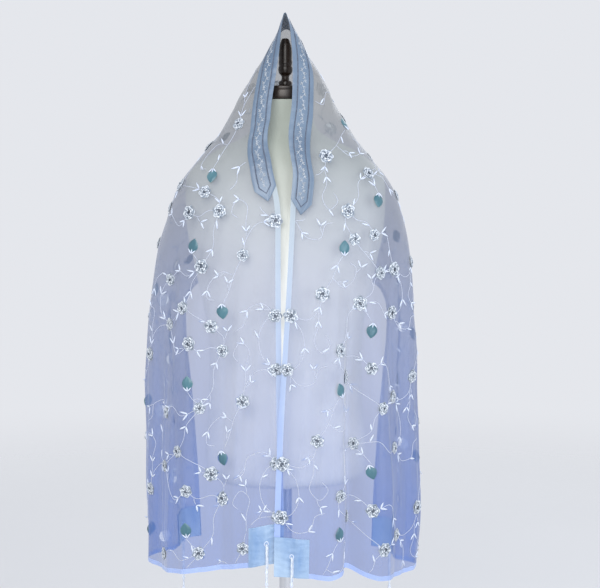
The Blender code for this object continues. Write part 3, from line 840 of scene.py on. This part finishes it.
def jersey_cover():
    nodes = Nodes("form_jersey", (0.84, 0.84, 0.82), 0.88, Sheen_Weight=0.15)
    cloud = nodes.ramp(nodes.noise(9.0, 5.0), (0.72, 0.72, 0.685), (0.80, 0.80, 0.77), 0.35, 0.7)
    # The neck stands in the shade of the peak, which sheer cloth alone would not give
    shade = nodes.ramp(nodes.height(0.92, 1.18), (1.0, 1.0, 1.0), (0.55, 0.60, 0.56))
    nodes.colour(nodes.times(cloud, shade))
    nodes.bump(nodes.weave(330.0), 0.15, 0.0003)
    return nodes.material, "form_cover"


def steel_tube():
    nodes = Nodes("steel_tube", (0.66, 0.67, 0.70), 0.30, Metallic=0.95)
    worn = nodes.noise(35.0, 4.0, (1.0, 1.0, 0.2))
    nodes.colour(nodes.ramp(worn, (0.58, 0.59, 0.62), (0.70, 0.71, 0.74), 0.35, 0.7))
    nodes.bump(nodes.noise(240.0, 2.0, (1.0, 1.0, 0.05)), 0.1, 0.0002)
    return nodes.material, "steel"


# Each organza's foot and peak colours hold painted light: painted shade at the foot, greyer painted light at
# the peak
ORGANZA = organza("organza_sheer", (0.082, 0.166, 0.48), (0.255, 0.265, 0.275), 0.58)
ORGANZA_TURNED = organza("organza_turned", (0.34, 0.41, 0.68), (0.42, 0.45, 0.52), 0.38)
ORGANZA_HEM = organza("organza_doubled", (0.42, 0.55, 0.92), (0.47, 0.53, 0.50), 0.78)
SATIN_BAND = satin("satin_band", (0.092, 0.144, 0.225), (0.148, 0.210, 0.300))
SATIN_SQUARE = satin("satin_square", (0.170, 0.290, 0.510), (0.370, 0.500, 0.670), 0.0060)
TEAL = satin("teal_ribbon", (0.030, 0.100, 0.140), (0.080, 0.205, 0.255))
CORD_DARK = thread("cord_slate", (0.035, 0.05, 0.09), (0.09, 0.12, 0.18), slot="satin")
SILVER = thread("silver_thread", (0.20, 0.24, 0.30), (0.50, 0.55, 0.61))
VINE_THREAD = thread("vine_thread", (0.40, 0.45, 0.58), (0.56, 0.61, 0.74))
WHITE_THREAD = thread("white_thread", (0.55, 0.63, 0.80), (0.72, 0.79, 0.93))
TASSEL_THREAD = thread("tassel_wool", (0.46, 0.53, 0.65), (0.72, 0.77, 0.86), 420.0)
RIBBON = ribbon()
WOOD = turned_wood()
COVER = jersey_cover()
STEEL = steel_tube()


# The shawl itself


def make_shawl():
    cells = CELLS_LEFT + CELLS_RIGHT
    a = np.linspace(-CELLS_LEFT, CELLS_RIGHT, cells * FINE_CELLS + 1) * CELL_ALONG
    b = np.linspace(0, CLOTH_WIDTH, CELLS_ACROSS * FINE_CELLS + 1)
    obj = sheet_on_cloth("shawl_organza", a, b, 0.0, ORGANZA, "tallit_cloth")
    # Sheer cloth scatters most light on to what hangs behind it, so it shades nothing here
    obj.visible_shadow = False
    obj.visible_diffuse = False
    return obj


def make_hems():
    """Doubled hems on all four edges, a little paler than the cloth."""
    step = CELL_ALONG / 5
    back = CLOTH_WIDTH - BACK_HEM
    strips = (
        ("hem_front_left", LEFT_END, LEFT_HEM_TOP, 0.0, FRONT_HEM, ORGANZA_HEM),
        ("hem_front_right", RIGHT_HEM_TOP, RIGHT_END, 0.0, FRONT_HEM, ORGANZA_HEM),
        ("hem_back_long", LEFT_END, RIGHT_END, back, CLOTH_WIDTH, ORGANZA_TURNED),
        ("hem_bottom_left", LEFT_END, LEFT_END + BOTTOM_HEM, FRONT_HEM, back, ORGANZA_HEM),
        ("hem_bottom_right", RIGHT_END - BOTTOM_HEM, RIGHT_END, FRONT_HEM, back, ORGANZA_HEM),
    )
    made = []
    for name, a0, a1, b0, b1, look in strips:
        a = np.linspace(a0, a1, max(4, int((a1 - a0) / step)))
        b = np.linspace(b0, b1, max(4, int((b1 - b0) / step)))
        made.append(sheet_on_cloth(name, a, b, HEM_LIFT, look))
    return made


def make_band():
    """The satin neckband, drawn in to a point at both ends, with a groove under its cord."""
    # The groove's place and width, as shares of half the band's width
    groove = 0.0135 / 0.0255
    groove_width = 0.0016 / 0.0255
    a0 = BAND_LEFT - BAND_TIP
    a1 = BAND_RIGHT + BAND_TIP
    tips = np.linspace(a0, BAND_LEFT, 9)[:-1], np.linspace(BAND_RIGHT, a1, 9)[1:]
    a = np.concatenate([tips[0], np.linspace(BAND_LEFT, BAND_RIGHT, 150), tips[1]])
    narrow = np.minimum(1.0, np.minimum(a - a0, a1 - a) / BAND_TIP)
    t = np.linspace(-1, 1, BAND_COLUMNS)
    along = np.repeat(a[:, None], BAND_COLUMNS, axis=1)
    across = BAND_MIDDLE + BAND_MIDDLE * narrow[:, None] * t
    round_edge = 1 - np.abs(t) ** 8
    thick = SATIN * (0.35 + 0.65 * round_edge)
    thick = thick - GROOVE_DEPTH * bell((np.abs(t) - groove) / groove_width)
    thick = thick + BAND_CREASE_HEIGHT * wave(along, BAND_CREASE) * round_edge
    out = (ON_CLOTH, ON_CLOTH + thick)
    return layer_on_cloth("satin_neckband", along, across, *out, SATIN_BAND, "neckband")


def make_band_outline():
    """The dark cord that outlines the band's inner panel, pointed at both ends."""
    left = BAND_LEFT - BAND_TIP + CORD_INSET * 1.25
    right = BAND_RIGHT + BAND_TIP - CORD_INSET * 1.25
    sides = np.linspace(left + CORD_SHOULDER, right - CORD_SHOULDER, 170)
    upper = [(left, BAND_MIDDLE), *((a, CORD_INSET) for a in sides), (right, BAND_MIDDLE)]
    lower = [(a, 2 * BAND_MIDDLE - b) for a, b in upper[-2:0:-1]]
    shape = Shape()
    out = ON_CLOTH + SATIN * 0.75
    shape.cord(*np.transpose(upper + lower), out, CORD_WIDTH, CORD_HEIGHT, closed=True)
    return shape.piece("band_outline_cord", CORD_DARK)


def corner_place(end, edge):
    """A corner square's first cell line along the cloth, and across it."""
    first = -CELLS_LEFT if end < 0 else CELLS_RIGHT - SQUARE_CELLS
    return first, 0 if edge == "front" else CELLS_ACROSS - SQUARE_CELLS


def make_squares():
    """A satin square sewn on at each corner, with a thin facing inside the cloth."""
    s = np.abs(np.linspace(-1, 1, SQUARE_FINE))
    edge_round = np.outer(1 - s**10, 1 - s**10)
    seam = bell((np.maximum.outer(s, s) - SQUARE_SEAM) / SEAM_WIDTH)
    even = SATIN * (0.4 + 0.6 * edge_round) - SEAM_DEPTH * seam
    made = []
    for side, end, edge in CORNERS[1:]:
        first, low = corner_place(end, edge)
        a = np.linspace(first, first + SQUARE_CELLS, SQUARE_FINE) * CELL_ALONG
        b = np.linspace(low, low + SQUARE_CELLS, SQUARE_FINE) * CELL_ACROSS
        along, across = np.meshgrid(a, b, indexing="ij")
        crease = wave(along, SQUARE_CREASE, 1.9 * np.sin(across * 75.0 + 2 * end))
        strength = 0.35 + 0.65 * np.sin(across * 55.0 + along * 60.0) ** 2
        thick = even + SQUARE_CREASE_HEIGHT * crease * strength * edge_round
        corner = f"{edge}_{side}"
        square = (f"satin_square_{corner}", along, across, ON_CLOTH, ON_CLOTH + thick)
        made.append(layer_on_cloth(*square, SATIN_SQUARE, f"corner_square_{corner}"))
        inset = [p.mean() + (p - p.mean()) * FACING_SCALE for p in (along, across)]
        inside = (-WALL / 2 - SQUARE_FACING, -WALL / 2)
        made.append(layer_on_cloth(f"square_facing_{corner}", *inset, *inside, SATIN_SQUARE))
    return made


# Embroidery, ribbon flowers and leaves


def covered(i, j):
    """True where the neckband or a corner square lies over this cell."""
    if j < BAND_CELLS_ACROSS and -BAND_CELLS_LEFT - 2 <= i < BAND_CELLS_RIGHT + 2:
        return True
    near_end = i < -CELLS_LEFT + SQUARE_CELLS or i >= CELLS_RIGHT - SQUARE_CELLS
    return near_end and (j < SQUARE_CELLS or j >= CELLS_ACROSS - SQUARE_CELLS)


def open_cloth(along, across, margin=0.003):
    """True where a stitch shows: inside the hems and clear of the satin pieces."""
    if not LEFT_END + END_MARGIN < along < RIGHT_END - END_MARGIN:
        return False
    if not FRONT_MARGIN < across < CLOTH_WIDTH - BACK_HEM:
        return False
    on_band_side = across < 2 * BAND_MIDDLE + margin
    if on_band_side and BAND_LEFT - BAND_TIP - margin < along < BAND_RIGHT + BAND_TIP + margin:
        return False
    square = SQUARE_CELLS * CELL_ALONG + margin
    side = SQUARE_CELLS * CELL_ACROSS + margin
    near_end = along < LEFT_END + square or along > RIGHT_END - square
    return not (near_end and (across < side or across > CLOTH_WIDTH - side))


def motif_places():
    """Every flower and leaf of the cloth: its place, kind and turn."""
    for i in range(-CELLS_LEFT, CELLS_RIGHT):
        start = 0 if i < 0 else RIGHT_START
        for along, across, kind, turn in MOTIFS[1:]:
            for second in (0, 1):
                j = across + second * REPEAT_ACROSS
                shift = second * REPEAT_ALONG // 2
                if (i + start - along - shift) % REPEAT_ALONG == 0 and not covered(i, j):
                    yield (i + 0.5) * CELL_ALONG, (j + 0.5) * CELL_ACROSS, kind, math.radians(turn)


def leaf_form(length, width, height):
    """A satin-stitch leaf: a closed lens with a low ridge, from its stem end along X."""
    shares = (0.14, 0.32, 0.52, 0.72, 0.88)
    keel = -0.0001
    points = [(0.0, 0.0, 0.0)]
    for share in shares:
        half = width / 2 * math.sin(math.pi * share**0.85) ** 0.8
        ridge = height * (0.5 + 0.5 * math.sin(math.pi * share))
        for y, z in ((-half, 0.0), (0.0, ridge), (half, 0.0), (0.0, keel)):
            points.append((length * share, y, z))
    points.append((length, 0.0, 0.0))
    faces = grid_faces(len(shares), 4, start=1, flip=True, closed=True)
    tip = len(points) - 1
    for c in range(4):
        d = (c + 1) % 4
        faces += [(1 + c, 1 + d, 0), (tip - 4 + d, tip - 4 + c, tip)]
    return points, faces


def flower_form(seed):
    """A ruffled ribbon flower: one gathered ribbon wound outwards from its eye, leaning out."""
    rng = random.Random(seed)
    radius = FLOWER_SIZE / 2
    turns = 2.6 + rng.random() * 0.4
    ruffles = 6.3 + rng.random()
    phase = rng.random() * 6.3
    points, tones = [], []

    def put(r, angle, height, tone):
        points.append((r * math.cos(angle), r * math.sin(angle), height))
        tones.append(tone)

    # The ribbon, as four lines of points: how far each leans out, its height and its tone, which paints
    # shade low in the ribbon and a highlight on its raised edge
    lines = ((0.0, 0.10, 0.0), (0.10, 0.75, 0.28), (0.55, 1.0, 0.95), (1.0, 0.66, 0.55))
    steps = 84
    for k in range(steps + 1):
        share = k / steps
        angle = share * turns * 2 * math.pi + phase
        inner = radius * (0.06 + 0.66 * share**0.9)
        ruffle = math.sin(angle * ruffles + phase)
        crumple = math.sin(angle * 13.0 + 2 * phase)
        # Painted light and shade: lighter on the ruffles' crests and darker in their troughs, with a slow
        # wave round the flower
        shade = 0.66 + 0.22 * math.sin(angle * 2.7 + 3 * phase) + 0.22 * ruffle
        lift = 0.0042 * (1 - 0.50 * share)
        for lean, up, tone in lines:
            r = inner + radius * lean * (0.25 + 0.075 * ruffle + 0.04 * crumple)
            height = lift * (up + (0.20 * ruffle + 0.10 * crumple) * lean)
            put(r, angle, height, tone * max(0.12, min(1.0, shade + 0.25 * crumple * lean)))
    faces = grid_faces(steps + 1, len(lines), flip=True)
    # A waved disc under it, with painted shade that is darkest at its eye
    rim = 24
    start = len(points)
    put(0.0, 0.0, 0.0006, 0.15)
    for share, tone, height in ((0.66, 0.22, 0.0007), (1.0, 0.72, 0.0009)):
        for k in range(rim):
            angle = 2 * math.pi * k / rim
            r = radius * share * (1 + 0.11 * share * math.sin(6 * angle + phase))
            raised = height + 0.0005 * share * math.sin(9 * angle)
            put(r, angle, raised, tone * (0.70 + 0.30 * math.sin(3 * angle + 2 * phase)))
    for k in range(rim):
        a, b = start + 1 + k, start + 1 + (k + 1) % rim
        faces += [(start, a, b), (a, a + rim, b + rim, b)]
    # A pale backing, which shows through the cloth from behind
    start = len(points)
    put(0.0, 0.0, 0.0001, 0.9)
    for k in range(rim):
        put(0.92 * radius, 2 * math.pi * k / rim, 0.0002, 0.9)
    faces += [(start, start + 1 + (k + 1) % rim, start + 1 + k) for k in range(rim)]
    return points, faces, tones


def ribbon_leaf_form():
    """A folded ribbon leaf: a pointed, crumpled lens, puffed up from its edges."""
    rows, columns = 13, 9
    points = []
    for share in np.linspace(0, 1, rows):
        half = LEAF_WIDTH / 2 * math.sin(math.pi * share**0.88) ** 0.86 + 0.0003
        for t in np.linspace(-1, 1, columns):
            puff = 0.0024 * (1 - abs(t) ** 1.6) * math.sin(math.pi * (0.12 + 0.80 * share))
            crumple = 0.0005 * math.sin(8 * share + 5 * t) * (1 - abs(t))
            fold = 0.0008 * bell(t * 5) * share
            points.append((LEAF_LENGTH * share, half * t, 0.0004 + puff + crumple - fold))
    return points, grid_faces(rows, columns, flip=True)


def visible_runs(places):
    """Cuts a line of places into the stretches that show."""
    runs = [[]]
    for along, across in places:
        if open_cloth(along, across):
            runs[-1].append((along, across))
        else:
            runs.append([])
    return [run for run in runs if len(run) > 3]


def add_leaf(leaves, along, across, heading, length):
    """One satin-stitch leaf that starts at a place and points along a heading."""
    tip = (along + math.cos(heading) * length, across + math.sin(heading) * length)
    if open_cloth(along, across, LEAF_MARGIN) and open_cloth(*tip, LEAF_MARGIN):
        place = cloth.frame_at(along, across, LEAF_LIFT, heading)
        leaves.add(place, *leaf_form(length, STITCH_LEAF_WIDTH, STITCH_LEAF_HEIGHT))


def add_sprig(vines, leaves, along, across, heading, bend, rng):
    """A short bent side stem that ends in a pair of leaves."""
    places = [(along, across)]
    for _ in range(SPRIG_STEPS):
        along += math.cos(heading) * SPRIG_STEM / SPRIG_STEPS
        across += math.sin(heading) * SPRIG_STEM / SPRIG_STEPS
        heading += bend / SPRIG_STEPS
        places.append((along, across))
    heading += bend / SPRIG_STEPS
    if all(open_cloth(*p, SPRIG_MARGIN) for p in places):
        vines.cord(*np.transpose(places), STITCH_LIFT, STITCH_WIDTH, STITCH_HEIGHT, taper=0.2)
        for side in (-1, 1):
            length = STITCH_LEAF * (0.78 + 0.25 * rng.random())
            spread = side * (0.55 + 0.25 * rng.random())
            add_leaf(leaves, along, across, heading + spread, length)


def vine_knots():
    """The knots of every vine on the cloth, one list for each."""
    for first, last, start in ((-4, 0, 0), (0, 5, -RIGHT_START)):
        for tile in range(first, last):
            for second in (0, 1):
                shift = tile * REPEAT_ALONG + start + second * (REPEAT_ALONG // 2)
                for vine in VINES:
                    knots = [(a + shift, b + second * REPEAT_ACROSS) for a, b in vine]
                    if all((a < 1.0) if start == 0 else (a > -1.0) for a, _ in knots):
                        yield [(a * CELL_ALONG, b * CELL_ACROSS) for a, b in knots]


def make_embroidery():
    """White vines with single and paired long leaves over the whole cloth."""
    rng = random.Random(7)
    vines = Shape()
    leaves = Shape()
    for knots in vine_knots():
        for run in visible_runs(smooth_line(knots, STITCH_STEP)):
            vines.cord(*np.transpose(run), STITCH_LIFT, STITCH_WIDTH, STITCH_HEIGHT, taper=0.04)
            k = 4 + rng.randrange(4)
            side = rng.choice((-1, 1))
            while k < len(run) - 3:
                (a0, b0), (a1, b1) = run[k - 1], run[k + 1]
                ahead = math.atan2(b1 - b0, a1 - a0)
                length = STITCH_LEAF * (0.80 + 0.35 * rng.random())
                if rng.random() < SPRIG_CHANCE:
                    add_sprig(vines, leaves, *run[k], ahead + side * 0.9, -side * 0.6, rng)
                else:
                    for turn in (side, -side) if rng.random() < PAIR_CHANCE else (side,):
                        heading = ahead + turn * (0.45 + 0.3 * rng.random())
                        add_leaf(leaves, *run[k], heading, length)
                side = -side
                k += 14 + rng.randrange(8)
    return [vines.piece("embroidered_vines", VINE_THREAD), leaves.piece("embroidered_leaves", WHITE_THREAD)]


def make_motifs():
    """The ribbon flowers, the teal ribbon leaves, and a stitched calyx at each leaf."""
    flowers = Shape()
    leaves = Shape()
    cups = Shape()
    calyx = ((-0.80, 0.0118), (0.0, 0.0105), (0.80, 0.0118))
    calyx_place = Matrix.Translation((-0.0022, 0.0, 0.0021))
    for number, (along, across, kind, turn) in enumerate(motif_places()):
        rng = random.Random(100 + number)
        if kind == "flower":
            place = cloth.frame_at(along, across, LEAF_LIFT, rng.random() * 6.28)
            place = place @ Matrix.Scale(0.92 + 0.24 * rng.random(), 4)
            flowers.add(place, *flower_form(number))
            continue
        heading = turn + (rng.random() - 0.5) * 0.7
        back = LEAF_LENGTH / 2
        base = (along - math.cos(heading) * back, across - math.sin(heading) * back)
        place = cloth.frame_at(*base, RIBBON_LIFT, heading)
        leaves.add(place, *ribbon_leaf_form())
        for spread, length in calyx:
            petal = place @ calyx_place @ Matrix.Rotation(spread, 4, "Z")
            cups.add(petal, *leaf_form(length, CALYX_WIDTH, CALYX_HEIGHT))
    return [
        flowers.piece("ribbon_flowers", RIBBON),
        leaves.piece("ribbon_leaves", TEAL),
        cups.piece("leaf_calyxes", WHITE_THREAD),
    ]


def make_band_ornament():
    """Silver sprigs on a waving stem down the middle of the neckband."""
    a0 = BAND_LEFT - 0.002
    a1 = BAND_RIGHT + 0.002
    quarter = SPRIG_WAVE / 4

    def stem(along):
        return BAND_MIDDLE + SPRIG_SWING * wave(along, SPRIG_WAVE)

    shape = Shape()
    a = np.arange(a0, a1, 0.0016)
    shape.cord(a, stem(a), ON_SATIN, STITCH_WIDTH, STITCH_HEIGHT, taper=0.02)
    for k in range(1, int((a1 - a0) / quarter)):
        along = a0 + k * quarter
        side = 1 if k % 2 else -1
        for turn, size in ((0.9, 0.0062), (1.9, 0.0050)):
            place = cloth.frame_at(along, stem(along), ON_SATIN, side * turn)
            shape.add(place, *leaf_form(size, 0.0022, 0.0007))
        dot = cloth.frame_at(along + quarter / 2, BAND_MIDDLE - side * 0.0052, ON_SATIN)
        shape.add(dot, *leaf_form(0.0017, 0.0017, 0.0009))
    return shape.piece("silver_band_ornament", SILVER)


# Corner tassels


def tassel_radius(fall):
    """The cord's radius by the distance below the hem: plain above it, wound and knotted below."""
    if fall < 0.002:
        return TASSEL_CORD * (0.94 + 0.10 * math.sin(fall * 2400))
    pitch = TASSEL_SHAFT / (TASSEL_KNOTS - 1)
    nearest = min(abs(fall - FIRST_KNOT - k * pitch) for k in range(TASSEL_KNOTS))
    knot = math.exp(-((nearest / KNOT_LENGTH) ** 4))
    winding = abs(math.sin(fall * math.pi / TASSEL_CORD))
    return TASSEL_CORD * (1.12 + 0.10 * winding + 0.82 * knot)


def add_strand(shape, start, number, end):
    """One waving strand that hangs from the last knot."""
    steps = 30
    turn = 2 * math.pi * (number + 0.5) / TASSEL_STRANDS
    outward = Vector((math.cos(turn), math.sin(turn), 0.0))
    beside = Vector((-math.sin(turn), math.cos(turn), 0.0))
    sway = 1.7 * turn + end
    line, radii = [], []
    for k in range(steps + 1):
        share = k / steps
        spread = 0.0016 + 0.0095 * share**0.8
        swing = 0.0020 * math.sin(5.0 * share + sway) * min(1.0, share * 4)
        curl = 0.0009 * math.sin(17.0 * share + 2.1 * number)
        centre = start + outward * (spread + swing) + beside * (swing * 0.6 + curl)
        centre.z -= 0.002 + TASSEL_STRAND * share * (1 + 0.04 * math.sin(sway * 3))
        line.append(centre)
        radii.append(STRAND_RADIUS * (1 + 0.12 * math.sin(k * 2.4)))
    radii[-1] /= 2
    shape.tube(line, radii, 6)


def make_tassel(side, end, edge):
    """A knotted cord through a stitched eyelet in a corner square, with strands below it."""
    first_row = corner_place(end, edge)[1]
    across = (first_row + SQUARE_CELLS / 2) * CELL_ACROSS
    hem = LEFT_END if end < 0 else RIGHT_END
    out = ON_SATIN + PIECE_GAP + TASSEL_CORD
    top, low, foot = (Vector(cloth.at(hem - end * CELL_ALONG * s, across, out)[0]) for s in (2.0, 1.0, 0.0))
    eyelet = top.lerp(low, 0.4)
    down = Vector((0.0, 0.0, -1.0))
    below = foot + down * 0.006
    bends = [eyelet, eyelet.lerp(low, 0.5), low, low.lerp(foot, 0.5), foot, below]
    line = [a.lerp(b, k / 6) for a, b in zip(bends, bends[1:]) for k in range(6)]
    steps = 110
    line += [below + down * (TASSEL_SHAFT + 0.008) * (k / steps) for k in range(steps + 1)]
    shape = Shape()
    shape.tube(line, [tassel_radius(below.z - point.z) for point in line], 12)
    # A second loop of cord passes through the eyelet beside the first
    loop = [point + Vector((LOOP_BESIDE, 0.0, 0.0)) for point in line[3:32]]
    shape.tube(loop, [TASSEL_CORD * 0.62] * len(loop), 8)
    for number in range(TASSEL_STRANDS):
        add_strand(shape, line[-1] - down * 0.004, number, end)
    corner = f"{edge}_{side}"
    tassel = shape.piece(f"knotted_tassel_{corner}", TASSEL_THREAD, f"tassel_{corner}")
    ring = Shape()
    angles = np.linspace(0, 2 * math.pi, 28, endpoint=False)
    a = hem - end * CELL_ALONG * 1.6 + EYELET_RADIUS * np.cos(angles)
    b = across + EYELET_RADIUS * np.sin(angles)
    ring.cord(a, b, ON_SATIN, EYELET_WIDTH, CORD_HEIGHT, closed=True)
    return [tassel, ring.piece(f"stitched_eyelet_{corner}", WHITE_THREAD)]


def make_tassels():
    return [piece for corner in CORNERS[1:] for piece in make_tassel(*corner)]


# The dress form and its stand


def make_torso():
    """The torso's sections, six to each step of its table."""
    sides = 96
    levels = [row[0] for row in TORSO[1:]]
    drops = [np.linspace(a, b, 6, endpoint=False) for a, b in zip(levels, levels[1:])]
    fine = np.append(np.concatenate(drops), levels[-1])[:, None]
    width, front, back = (curve(fine) for curve in curves(TORSO).values())
    angle = np.arange(sides) * 2 * math.pi / sides
    x = width * signed_power(np.sin(angle), TORSO_FULLNESS)
    y = (back + front) / 2 - (back - front) / 2 * signed_power(np.cos(angle), TORSO_FULLNESS)
    z = np.repeat(PEAK_HEIGHT - fine, sides, axis=1)
    mesh = mesh_from("form_body", np.stack([x, y, z], axis=-1), tube_faces(len(fine), sides))
    return piece_from(mesh, COVER, "form_torso", CORNER_ANGLE)


def make_turned(name, node, profile, foot, look, rounding=2):
    """A turned piece with its profile's corners softened."""
    line = np.array(profile)
    for _ in range(rounding):
        cut = [place for a, b in zip(line, line[1:]) for place in (a * 0.78 + b * 0.22, a * 0.22 + b * 0.78)]
        line = np.array([line[0], *cut, line[-1]])
    line = line[line[:, 0] > 1e-6]
    steps = 72
    angle = np.arange(steps) * 2 * math.pi / steps
    x = np.outer(line[:, 0], np.cos(angle))
    y = np.outer(line[:, 0], np.sin(angle))
    z = np.repeat(line[:, 1:] + foot, steps, axis=1)
    mesh = mesh_from(name, np.stack([x, y, z], axis=-1), tube_faces(len(line), steps, flip=True))
    return piece_from(mesh, look, node, CORNER_ANGLE)


def make_stand():
    torso_top = PEAK_HEIGHT - TORSO[1][0]
    torso_foot = PEAK_HEIGHT - TORSO[-1][0]
    cap_foot = torso_top + PIECE_GAP
    finial_foot = cap_foot + CAP_PROFILE[0][1] + PIECE_GAP
    base_top = BASE_PROFILE[0][1]
    length = torso_foot - base_top
    pole = ((0.0, length), (POLE_RADIUS, length), (POLE_RADIUS, 0.001), (0.0, 0.001))
    return [
        make_turned("turned_neck_cap", "form_neck_cap", CAP_PROFILE, cap_foot, WOOD),
        make_turned("turned_finial", "form_finial", FINIAL_PROFILE, finial_foot, WOOD, 3),
        make_turned("turned_base", "form_base", BASE_PROFILE, 0.0, WOOD),
        make_turned("steel_pole", "form_pole", pole, base_top, STEEL, 0),
    ]


# Stage, light and camera


def make_stage():
    """A pale floor that fades into the studio's light around it, so no far edge shows."""
    bpy.ops.mesh.primitive_plane_add(size=FLOOR_SIZE, location=(0.0, 0.0, -0.0005))
    floor = bpy.context.object
    floor.name = "stage_floor"
    nodes = Nodes("stage_pale", (0.70, 0.71, 0.73), 0.95)
    nodes.colour(nodes.ramp(nodes.noise(1.5, 2.0), (0.68, 0.69, 0.71), (0.72, 0.73, 0.75)))
    away = nodes.add("ShaderNodeVectorMath", operation="LENGTH")
    nodes.link(nodes.position(), away.inputs[0])
    fade = nodes.add(
        "ShaderNodeMapRange",
        interpolation_type="SMOOTHSTEP",
        in_From_Min=FLOOR_WHOLE,
        in_From_Max=FLOOR_GONE,
        in_To_Min=1.0,
        in_To_Max=0.0,
    )
    nodes.link(away.outputs["Value"], fade.inputs["Value"])
    nodes.link(fade.outputs["Result"], nodes.shader.inputs["Alpha"])
    floor.data.materials.append(nodes.material)


def make_light():
    world = bpy.data.worlds.new("soft_studio")
    bpy.context.scene.world = world
    world.use_nodes = True
    background = world.node_tree.nodes["Background"]
    background.inputs["Color"].default_value = (*STUDIO_COLOUR, 1.0)
    background.inputs["Strength"].default_value = STUDIO_STRENGTH
    for name, place, size, power, colour in LAMPS[1:]:
        lamp = bpy.data.lights.new(name, "AREA")
        lamp.energy = power
        lamp.size = size
        lamp.color = colour
        obj = bpy.data.objects.new(name, lamp)
        obj.location = place
        aim = Vector(LIT_MIDDLE) - Vector(place)
        obj.rotation_euler = aim.to_track_quat("-Z", "Y").to_euler()
        bpy.context.scene.collection.objects.link(obj)


def make_camera():
    lens = bpy.data.cameras.new("photo_view")
    lens.lens = CAMERA_LENS
    lens.sensor_width = CAMERA_SENSOR
    camera = bpy.data.objects.new("photo_view", lens)
    camera.location = CAMERA_PLACE
    camera.rotation_euler = (math.radians(90.0 - CAMERA_TILT), 0.0, 0.0)
    bpy.context.scene.collection.objects.link(camera)
    bpy.context.scene.camera = camera


bpy.context.scene.view_settings.view_transform = "Standard"
make_camera()
make_stage()
make_light()
shawl = make_shawl()
hems = make_hems()
band = make_band()
outline = make_band_outline()
squares = make_squares()
embroidery = make_embroidery()
motifs = make_motifs()
ornament = make_band_ornament()
tassels = make_tassels()
torso = make_torso()
stand = make_stand()
